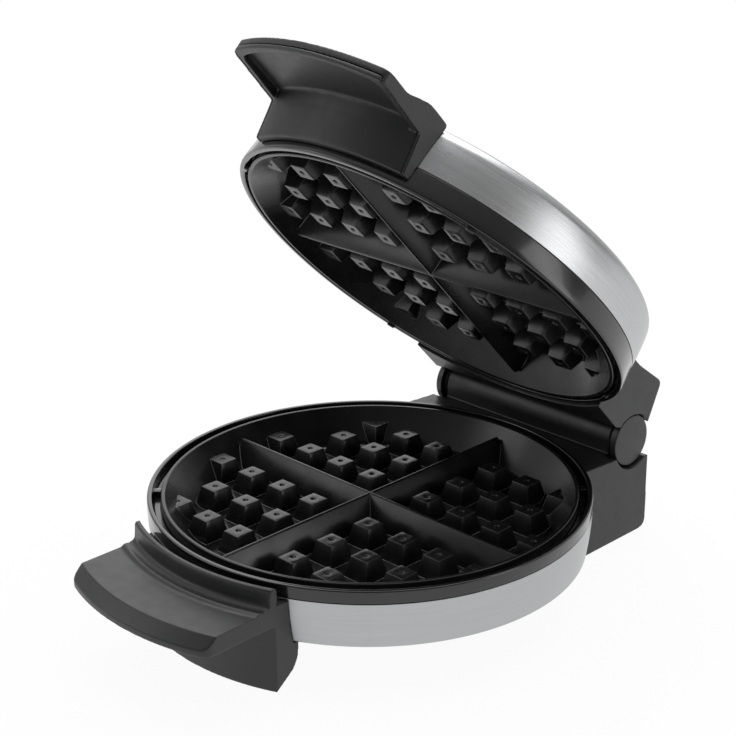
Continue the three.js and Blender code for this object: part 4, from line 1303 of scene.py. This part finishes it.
@dataclass(frozen=True)
class LidBody:
    """The lid's round body: bezel with its trough and pegs, brushed steel shell, plate and lamp lens."""

    ring: float = 2.7
    trough: float = 3.2
    floor: float = 1.8
    skirt: float = 5.2
    skirt_wall: float = 2
    lean: float = 0.9
    edge: float = 1.0
    peg_width: float = 4
    peg_bite: float = 0.4
    peg_proud: float = 1.2
    lens_y: float = -62
    lens_radius: float = 4.5
    lens_rim: float = 6
    lens_height: float = 1.2
    lens_depth: float = 3
    lens_share: float = 0.728

    def crown(self, at: Places, grow: float) -> list[tuple[float, ...]]:
        """Gives the shell's outside from its seam over the rounded edge to the dome."""
        seam = at.seam
        top = at.top
        return [
            (STACK.shoulder + grow, seam), (STACK.shoulder - 0.6 + grow, seam + STACK.shell * 0.55, 6),
            (STACK.shoulder - 1.9 + grow, top + 0.1 + grow, STACK.crown_round),
            (STACK.shoulder * STACK.dome_share, top + STACK.dome * STACK.dome_rise_share + grow, 24),
            (0, top + STACK.dome + grow),
        ]

    def envelope(self, at: Places, gap: float) -> Piece:
        """Builds the outside of the lid's round body grown by a gap."""
        face = at.face
        return revolve("lid_envelope", [
            (0, face - FIT.over), (at.lid_radius + gap, face - FIT.over), (at.lid_radius + gap, face),
            (STACK.shoulder + gap, at.seam), *eased(self.crown(at, gap), 8)[1:],
        ])

    def bezel(self, at: Places, plate: GridPlate) -> Piece:
        """Builds the bezel ring round the lid's face, and its four pegs."""
        face = at.face
        seam = at.seam
        inside = at.lid_radius - self.ring
        trough = face + self.trough
        floor = trough + self.floor
        floor_in = plate.radius + FIT.clearance
        flange_out = plate.radius + plate.flange_reach + FIT.clearance
        flange_top = face + plate.flange_drop + plate.flange + FIT.clearance
        skirt_out = STACK.shoulder - FIT.sheet - FIT.clearance
        skirt_in = skirt_out - self.skirt_wall
        skirt_top = seam + self.skirt
        outline = eased([
            (at.lid_radius, face, self.edge), (inside, face, 0.7), (inside - 0.3, trough, 1),
            (floor_in, trough, 0.3), (floor_in, floor), (flange_out, floor), (flange_out, flange_top),
            (skirt_in, flange_top + self.skirt_wall / 2), (skirt_in, skirt_top),
            (skirt_out - self.lean, skirt_top), (skirt_out, seam - FIT.clearance),
            (STACK.shoulder, seam - FIT.clearance, 0.3), (at.lid_radius, face + 2.4, 3),
        ])
        low = (floor_in, -self.peg_width / 2, face - self.peg_proud)
        high = (inside + self.peg_bite, self.peg_width / 2, trough + self.floor / 2)
        return with_pegs("lid_ring_with_pegs", revolve("lid_ring", outline), low, high)

    def shell(self, at: Places) -> Piece:
        """Builds the drawn steel shell with its rounded edge and low dome, and the lens hole."""
        outside = eased(self.crown(at, 0), 10)
        inside = eased(self.crown(at, -FIT.sheet), 10)
        piece = revolve("shell_skin", [*outside, *reversed(inside)])
        low = at.top - STACK.dome
        high = at.top + STACK.dome * 2
        hole = drum("lens_hole", self.lens_radius + FIT.clearance, low, high, DETAIL.small)
        return shaded(carve(piece, shifted(hole, 0, self.lens_y, 0), Cut.TAKE))

    def lens(self, at: Places) -> Piece:
        """Builds the lamp lens: a plug with a low domed rim on the shell."""
        skin = at.top + STACK.dome * self.lens_share
        return shifted(turned("lamp_lens", [
            (0, skin - self.lens_depth), (self.lens_radius, skin - self.lens_depth),
            (self.lens_radius, skin + FIT.clearance), (self.lens_rim, skin + FIT.clearance, 0.2),
            (self.lens_rim - 0.7, skin + self.lens_height * 0.8, 0.8), (0, skin + self.lens_height),
        ], DETAIL.small), 0, self.lens_y, 0)

    def build(self, at: Places) -> None:
        """Builds, dresses and hangs every piece of the lid's round body."""
        plate = GridPlate()
        flip = Matrix.Translation((0, 0, at.face)) @ Matrix.Rotation(math.pi, 4, "X")
        at.hang(placed(plate.build("upper_grid"), flip), "lid", "nonstick", "upper_plate")
        at.hang(self.bezel(at, plate), "lid", "bezel_plastic", "lid_bezel")
        at.hang(self.shell(at), "lid", "lid_steel", "lid_shell")
        at.hang(self.lens(at), "lid", "lens_red", "indicator_lens")


@dataclass(frozen=True)
class LidHandle:
    """The lid's handle: a top skin, and a liner with the finger pocket. Heights start at the shell's top."""

    back: float = 45
    skirt_z: float = 3.6
    skirt: float = 100.2
    waist: float = 103
    waist_drop: float = -14.3
    wall: float = 105
    throat_y: float = 95.6
    throat: float = -10.8
    bump_y: float = 84.2
    bump_back: float = 99
    inner: float = 86.6
    bump_top: float = 1.3
    neck_y: float = 111.6
    neck_top: float = -4
    under: float = -9.1
    front: float = 134.5
    side: float = 126
    corner: float = 7
    skin: float = 1.4
    lip: float = 3
    lip_corner: float = 11
    rim: float = 3
    cheek: float = 4
    ceiling: float = -6.7
    neck_round: float = 2.8
    bump_round: float = 5.2
    rear_round: float = 2
    pocket_voxel: float = 0.7
    pocket_soft: int = 8
    soft: int = 4
    curve: int = 10
    skirt_curve: int = 12
    waist_round: float = 7
    scoop_radius: float = 7
    scoop_x: float = 46
    scoop_y: float = 104.4
    scoop_rise: float = 5.4

    def body(self, at: Places, lid: LidBody) -> Piece:
        """Builds the handle's whole outside, cut to fit round the lid."""
        half = FIT.handle_half
        top = at.top
        face = at.face
        outline = eased([
            (-self.bump_y, top + self.throat), (-self.throat_y, top + self.throat),
            (-self.front - FIT.over, top + self.under), (-self.front - FIT.over, top + self.neck_top),
            (-self.neck_y, top + self.neck_top, self.neck_round),
            (-self.bump_back, top + self.bump_top, self.bump_round),
            (-self.bump_y, top + self.bump_top, self.rear_round),
        ], self.curve)
        piece = prism("hood_skin", outline, -half, half, Axis.X)
        skirt = revolve("hood_skirt", eased([
            (self.back, face + self.skirt_z), (self.skirt, face + self.skirt_z, 0.8),
            (self.waist, top + self.waist_drop, self.waist_round), (self.wall, top + self.ceiling),
            (self.back, top + self.ceiling),
        ], self.skirt_curve), DETAIL.ring * 2)
        carve(piece, skirt, Cut.JOIN)
        plan = arched_front(half, self.front, self.side, self.corner, self.back)
        carve(piece, prism("hood_plan", plan, face, top + STACK.dome * 2, Axis.Z), Cut.KEEP)
        carve(piece, lid.envelope(at, FIT.clearance), Cut.TAKE)
        carve(piece, drum("inside", self.inner, at.seam, top + STACK.dome * 2), Cut.TAKE)
        return self.scooped(piece, at, self.scoop_radius)

    def scooped(self, piece: Piece, at: Places, radius: float) -> Piece:
        """Cuts a shallow ball-shaped dip into both sides of the bump's slope."""
        turns = [math.pi * i / ARCH_STEPS for i in range(ARCH_STEPS + 1)]
        outline = [(radius * math.sin(turn), -radius * math.cos(turn)) for turn in turns]
        for side, _ in SIDES:
            ball = revolve("scoop", outline, DETAIL.small)
            shifted(ball, side * self.scoop_x, -self.scoop_y, at.top + self.scoop_rise)
            carve(piece, ball, Cut.TAKE)
        return piece

    def core(self, at: Places, gap: float) -> Piece:
        """Builds what lies under the top skin, shrunk by a gap."""
        top = at.top
        half = FIT.handle_half - self.skin - gap
        front = -self.front - self.corner
        drop = -self.skin - gap
        outline = eased([
            (-self.back, 0), (front, 0), (front, top + self.neck_top + drop),
            (-self.neck_y, top + self.neck_top + drop, self.neck_round),
            (-self.bump_back, top + self.bump_top + drop, self.bump_round),
            (-self.back, top + self.bump_top + drop),
        ], self.curve)
        piece = prism("hood_core", outline, -half, half, Axis.X)
        seam = top + self.neck_top - self.lip - gap
        plan = arched_front(half, self.front + drop, self.side + drop, self.lip_corner, self.back)
        corner = (-half - FIT.over, front - FIT.over, seam)
        lip = block("hood_lip", corner, (half + FIT.over, -self.neck_y, top))
        carve(lip, prism("hood_lip_plan", plan, seam - FIT.over, top + FIT.over, Axis.Z), Cut.TAKE)
        return self.scooped(carve(piece, lip, Cut.TAKE), at, self.scoop_radius - drop)

    def pocket(self, at: Places) -> Piece:
        """Builds the finger pocket's space, with its broad inner roundings."""
        top = at.top
        half = FIT.handle_half - self.cheek
        plan = arched_front(half, self.front - self.rim, self.side - self.rim, self.corner, self.back)
        low = top + self.waist_drop - self.cheek * 2
        space = prism("pocket", plan, low, top + self.ceiling, Axis.Z)
        wall = revolve("pocket_wall", [
            (0, low - FIT.over), (self.waist, low - FIT.over), (self.waist, top + self.waist_drop),
            (self.wall, top + self.ceiling), (self.wall, top), (0, top),
        ])
        carve(space, wall, Cut.TAKE)
        return moulded(space, self.pocket_soft, self.pocket_voxel)

    def build(self, at: Places, lid: LidBody) -> None:
        """Builds, dresses and hangs the two mouldings."""
        whole = self.body(at, lid)
        liner = turned_copy(whole, Matrix.Identity(4))
        carve(whole, self.core(at, 0), Cut.TAKE)
        carve(liner, self.core(at, FIT.clearance), Cut.KEEP)
        carve(liner, self.pocket(at), Cut.TAKE)
        at.hang(moulded(whole, self.soft), "lid", "handle_plastic", "lid_handle")
        liner.name = "hood_liner"
        at.hang(moulded(liner, self.soft), "lid", "handle_plastic", "lid_handle_liner")


@dataclass(frozen=True)
class Bracket:
    """The lid's hinge bracket: two flat cheeks joined by a front wall, a top and a rear wall."""

    front_y: float = 78.6
    low: float = -1.1
    step_y: float = 83.1
    step_z: float = -2.4
    ledge_y: float = 91.2
    top_y: float = 113
    top_z: float = 1.7
    rear_y: float = 122.1
    rear_z: float = 56.1
    toe_y: float = 99.4
    wall: float = 3
    ease: float = 3
    rear_end: float = 12.5
    soft: int = 2

    def shape(self, at: Places, hinge: Hinge) -> Piece:
        """Builds the hollow bracket before it is cut to fit the hinge and the lid."""
        half = FIT.housing_half - hinge.inset
        inside = half - hinge.wall
        top = at.top
        low = at.face + self.low
        w = self.wall
        profile = eased([
            (self.front_y, low), (self.toe_y, low), (at.hinge_y - hinge.barrel, low + w),
            (at.hinge_y, at.hinge_z), (self.rear_y, self.rear_z), (self.top_y, top + self.top_z, self.ease),
            (self.ledge_y, top + self.step_z, self.ease * 1.5), (self.step_y, top + self.step_z, 0.4),
        ])
        piece = prism("bracket_moulding", profile, -half, half, Axis.X)
        hollow = prism("bracket_room", [
            (self.front_y, low + w), (self.step_y, top + self.step_z - w),
            (self.ledge_y, top + self.step_z - w),
            (self.top_y - w, top + self.top_z - w), (self.rear_y - w, self.rear_z + w),
            (self.rear_y + w, low - w * 3), (self.toe_y, low - w * 3), (self.toe_y, low + w),
        ], -inside, inside, Axis.X)
        radius = at.lid_radius + FIT.clearance + w
        carve(hollow, drum("bracket_front", radius, 0, top * 2), Cut.TAKE)
        carve(piece, hollow, Cut.TAKE)
        opening = block("rear_opening", (-inside, at.hinge_y - hinge.barrel, low - w * 3),
                        (inside, self.rear_y + w, at.hinge_z + self.rear_end))
        carve(piece, opening, Cut.TAKE)
        for side, _ in SIDES:
            carve(piece, hinge.rod("web", at, side * inside, side * half, hinge.barrel), Cut.JOIN)
        return piece

    def recess(self, at: Places, hinge: Hinge, side: int) -> Piece:
        """Builds the round seat of one cap, drawn out to the upper rear into a crescent gap."""
        half = FIT.housing_half - hinge.inset
        inner = half - hinge.cap_depth - FIT.clearance
        tool = hinge.rod("recess", at, side * inner, side * (half + FIT.over), hinge.cap + FIT.clearance)
        shift = (0, hinge.slot * math.cos(at.opening), hinge.slot * math.sin(at.opening))
        return carve(tool, turned_copy(tool, Matrix.Translation(shift)), Cut.JOIN)

    def build(self, at: Places, lid: LidBody, hinge: Hinge) -> None:
        """Builds, dresses and hangs the bracket."""
        piece = self.shape(at, hinge)
        for side, _ in SIDES:
            carve(piece, self.recess(at, hinge, side), Cut.TAKE)
        carve(piece, hinge.bore(at), Cut.TAKE)
        carve(piece, lid.envelope(at, FIT.clearance), Cut.TAKE)
        carve(piece, drum("under_lid", at.lid_radius + FIT.clearance, 0, at.face), Cut.TAKE)
        at.hang(moulded(piece, self.soft), "lid", "handle_plastic", "lid_bracket")


@dataclass(frozen=True)
class Fasteners:
    """The screws that show underneath: countersunk heads with a cross recess."""

    head: float = 3.2
    head_height: float = 1.8
    shank: float = 1.6
    slot_width: float = 0.75
    slot_reach: float = 1.9
    slot_depth: float = 1.1
    slot_turn: float = 0.4
    head_edge: float = 0.5

    def screw(self, name: str, node: str) -> Piece:
        """Builds one screw in the place of its CAD node, its head down.

        Args:
            name: The new piece's name.
            node: The CAD node it stands for.

        Returns:
            The piece, in millimetres about its own axis at the node's lowest point.
        """
        low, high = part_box(node)
        length = (high.z - low.z) / MILLIMETRE
        outline = eased([
            (0, 0), (self.head, 0, 0.3), (self.head, self.head_edge, 0.2),
            (self.shank, self.head_height, 0.2), (self.shank, length, 0.4), (0, length),
        ])
        piece = revolve(name, outline, DETAIL.small)
        for turn in (0, math.pi / 2):
            arm = block("arm", (-self.slot_reach, -self.slot_width / 2, -FIT.over),
                        (self.slot_reach, self.slot_width / 2, self.slot_depth))
            carve(piece, placed(arm, Matrix.Rotation(turn + self.slot_turn, 4, "Z")), Cut.TAKE)
        return shaded(piece)

    def build(self, at: Places) -> None:
        """Builds, dresses and hangs the screws of the pan and the housing."""
        nodes = [f"pan_screw_{i}" for i in (1, 2, 3, 4)] + ["housing_screw_left", "housing_screw_right"]
        for node in nodes:
            low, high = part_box(node)
            middle = (low + high) / 2 - at.axis
            place = Vector((middle.x, middle.y, low.z)) / MILLIMETRE
            at.hang(shifted(self.screw(f"{node}_cross_head", node), *place), "base", "fastener_steel", node)


# Studio


@dataclass(frozen=True)
class View:
    """The camera's place, fitted to the photograph, about the round axis in millimetres and degrees."""

    azimuth: float = 45.292
    elevation: float = 21.403
    roll: float = -0.391
    distance: float = 765.38
    target: tuple[float, float, float] = (-2.733, 1.956, 100.687)
    lens: float = 86.1
    sensor: float = 36
    clip: float = 0.01

    def build(self, at: Places) -> None:
        """Creates the camera and makes it the scene's own."""
        a = math.radians(self.azimuth)
        e = math.radians(self.elevation)
        r = math.radians(self.roll)
        back = Vector((math.sin(a) * math.cos(e), -math.cos(a) * math.cos(e), math.sin(e)))
        level = Vector((math.cos(a), math.sin(a), 0))
        upright = back.cross(level)
        right = level * math.cos(r) + upright * math.sin(r)
        up = upright * math.cos(r) - level * math.sin(r)
        place = at.axis + (Vector(self.target) + back * self.distance) * MILLIMETRE
        data = bpy.data.cameras.new("camera")
        data.lens = self.lens
        data.sensor_width = self.sensor
        data.clip_start = self.clip
        camera = bpy.data.objects.new("camera", data)
        camera.matrix_world = Matrix((
            (right.x, up.x, back.x, place.x), (right.y, up.y, back.y, place.y),
            (right.z, up.z, back.z, place.z), (0, 0, 0, 1),
        ))
        bpy.context.scene.collection.objects.link(camera)
        bpy.context.scene.camera = camera


@dataclass(frozen=True)
class Lamp:
    """A soft rectangular lamp that looks at the middle of the cooker. Sizes in metres, power in watts."""

    name: str
    place: tuple[float, float, float]
    width: float
    height: float
    power: float

    def build(self) -> None:
        """Creates the lamp."""
        data = bpy.data.lights.new(self.name, "AREA")
        data.shape = "RECTANGLE"
        data.size = self.width
        data.size_y = self.height
        data.energy = self.power
        lamp = bpy.data.objects.new(self.name, data)
        away = Vector(self.place) - Vector((0, 0, LAMPS_AIM))
        lamp.location = self.place
        lamp.rotation_euler = away.to_track_quat("Z", "Y").to_euler()
        bpy.context.scene.collection.objects.link(lamp)


@dataclass(frozen=True)
class Studio:
    """A white room: a floor that keeps the soft shadow, an even sky and soft lamps."""

    ambient: float = 0.62
    dim: float = 0.1
    behind: tuple[float, float, float] = (-0.6, 0.62, 0.5)
    away: float = -0.7
    towards: float = 0.9
    floor_side: float = 12
    near: float = 0.18
    far: float = 0.36
    paper: str = "#f2f2f2"
    fibre: str = "#f5f5f5"
    lift: float = 0.95

    def floor_finish(self) -> bpy.types.Material:
        """Builds white paper that fades to plain white away from the object."""
        make = Palette("studio_paper")
        fibre = make.spots(1.5, 3)
        tone = make.blend(make.spread(fibre, 0, 1), linear(self.paper), linear(self.fibre))
        make.dress(Base_Color=tone, Roughness=0.9, Specular_IOR_Level=0.0)
        path = make.add("ShaderNodeLightPath")
        seen = self.seen(make, path)
        distance = make.add("ShaderNodeVectorMath", {0: make.where}, operation="LENGTH").outputs["Value"]
        fade = make.spread(distance, self.lift, 1, (self.near, self.far))
        share = make.reckon("MULTIPLY", fade, seen)
        glow = make.add("ShaderNodeEmission", {"Color": (1, 1, 1, 1), "Strength": 1.0}).outputs[0]
        mixed = make.add("ShaderNodeMixShader", {0: share, 1: make.shader.outputs[0], 2: glow})
        output = next(node for node in make.tree.nodes if node.type == "OUTPUT_MATERIAL")
        make.tree.links.new(mixed.outputs[0], output.inputs["Surface"])
        return make.material

    @staticmethod
    def seen(make: Any, path: bpy.types.Node) -> Any:
        """Gives 1 for what the camera sees, straight or in a reflection, and 0 for light on the object."""
        direct = make.reckon("MAXIMUM", path.outputs["Is Camera Ray"], path.outputs["Is Glossy Ray"])
        return make.reckon("MAXIMUM", direct, path.outputs["Is Transmission Ray"])

    def sky(self) -> None:
        """Builds the even surroundings, at the level that lights the object from all sides."""
        world = bpy.data.worlds.new("white_room")
        world.use_nodes = True
        tree = world.node_tree
        background = tree.nodes["Background"]
        background.inputs["Color"].default_value = (1, 1, 1, 1)
        towards = tree.nodes.new("ShaderNodeTexCoord").outputs["Generated"]
        facing = tree.nodes.new("ShaderNodeVectorMath")
        facing.operation = "DOT_PRODUCT"
        facing.inputs[1].default_value = Vector(self.behind).normalized()
        tree.links.new(towards, facing.inputs[0])
        level = tree.nodes.new("ShaderNodeMapRange")
        level.interpolation_type = "SMOOTHSTEP"
        limits = {
            "From Min": self.away, "From Max": self.towards, "To Min": self.dim, "To Max": self.ambient,
        }
        for name, value in limits.items():
            level.inputs[name].default_value = value
        tree.links.new(facing.outputs["Value"], level.inputs["Value"])
        tree.links.new(level.outputs["Result"], background.inputs["Strength"])
        bpy.context.scene.world = world

    def build(self) -> None:
        """Builds floor, sky and lamps."""
        half = self.floor_side / 2
        maker = bmesh.new()
        corners = ((-half, -half), (half, -half), (half, half), (-half, half))
        maker.faces.new([maker.verts.new((x, y, 0)) for x, y in corners])
        floor = new_object("floor", maker)
        floor.data.materials.append(self.floor_finish())
        self.sky()
        lamps = [
            Lamp("overhead_softbox", (-0.25, 0.35, 1.2), 1.2, 1.2, 12.0),
            Lamp("side_softbox", (1.4, 0.5, 0.45), 0.5, 0.9, 3.5),
            Lamp("rear_softbox", (-1.1, 1.1, 0.72), 1.3, 0.9, 3.5),
            Lamp("front_softbox", (-1.1, -1.05, 0.75), 0.8, 0.8, 3.0),
        ]
        for lamp in lamps:
            lamp.build()


def main() -> None:
    """Builds the whole scene."""
    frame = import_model()
    at = Places(frame)
    at.dress_frame(frame)
    View().build(at)
    Studio().build()
    base = BaseBody()
    hinge = Hinge()
    lid = LidBody()
    base.build(at)
    LowerHandle().build(at, base)
    RearHousing().build(at, base, hinge)
    hinge.caps(at)
    lid.build(at)
    LidHandle().build(at, lid)
    Bracket().build(at, lid, hinge)
    Fasteners().build(at)
    bpy.context.scene.view_settings.view_transform = "Standard"


if __name__ == "__main__":
    main()
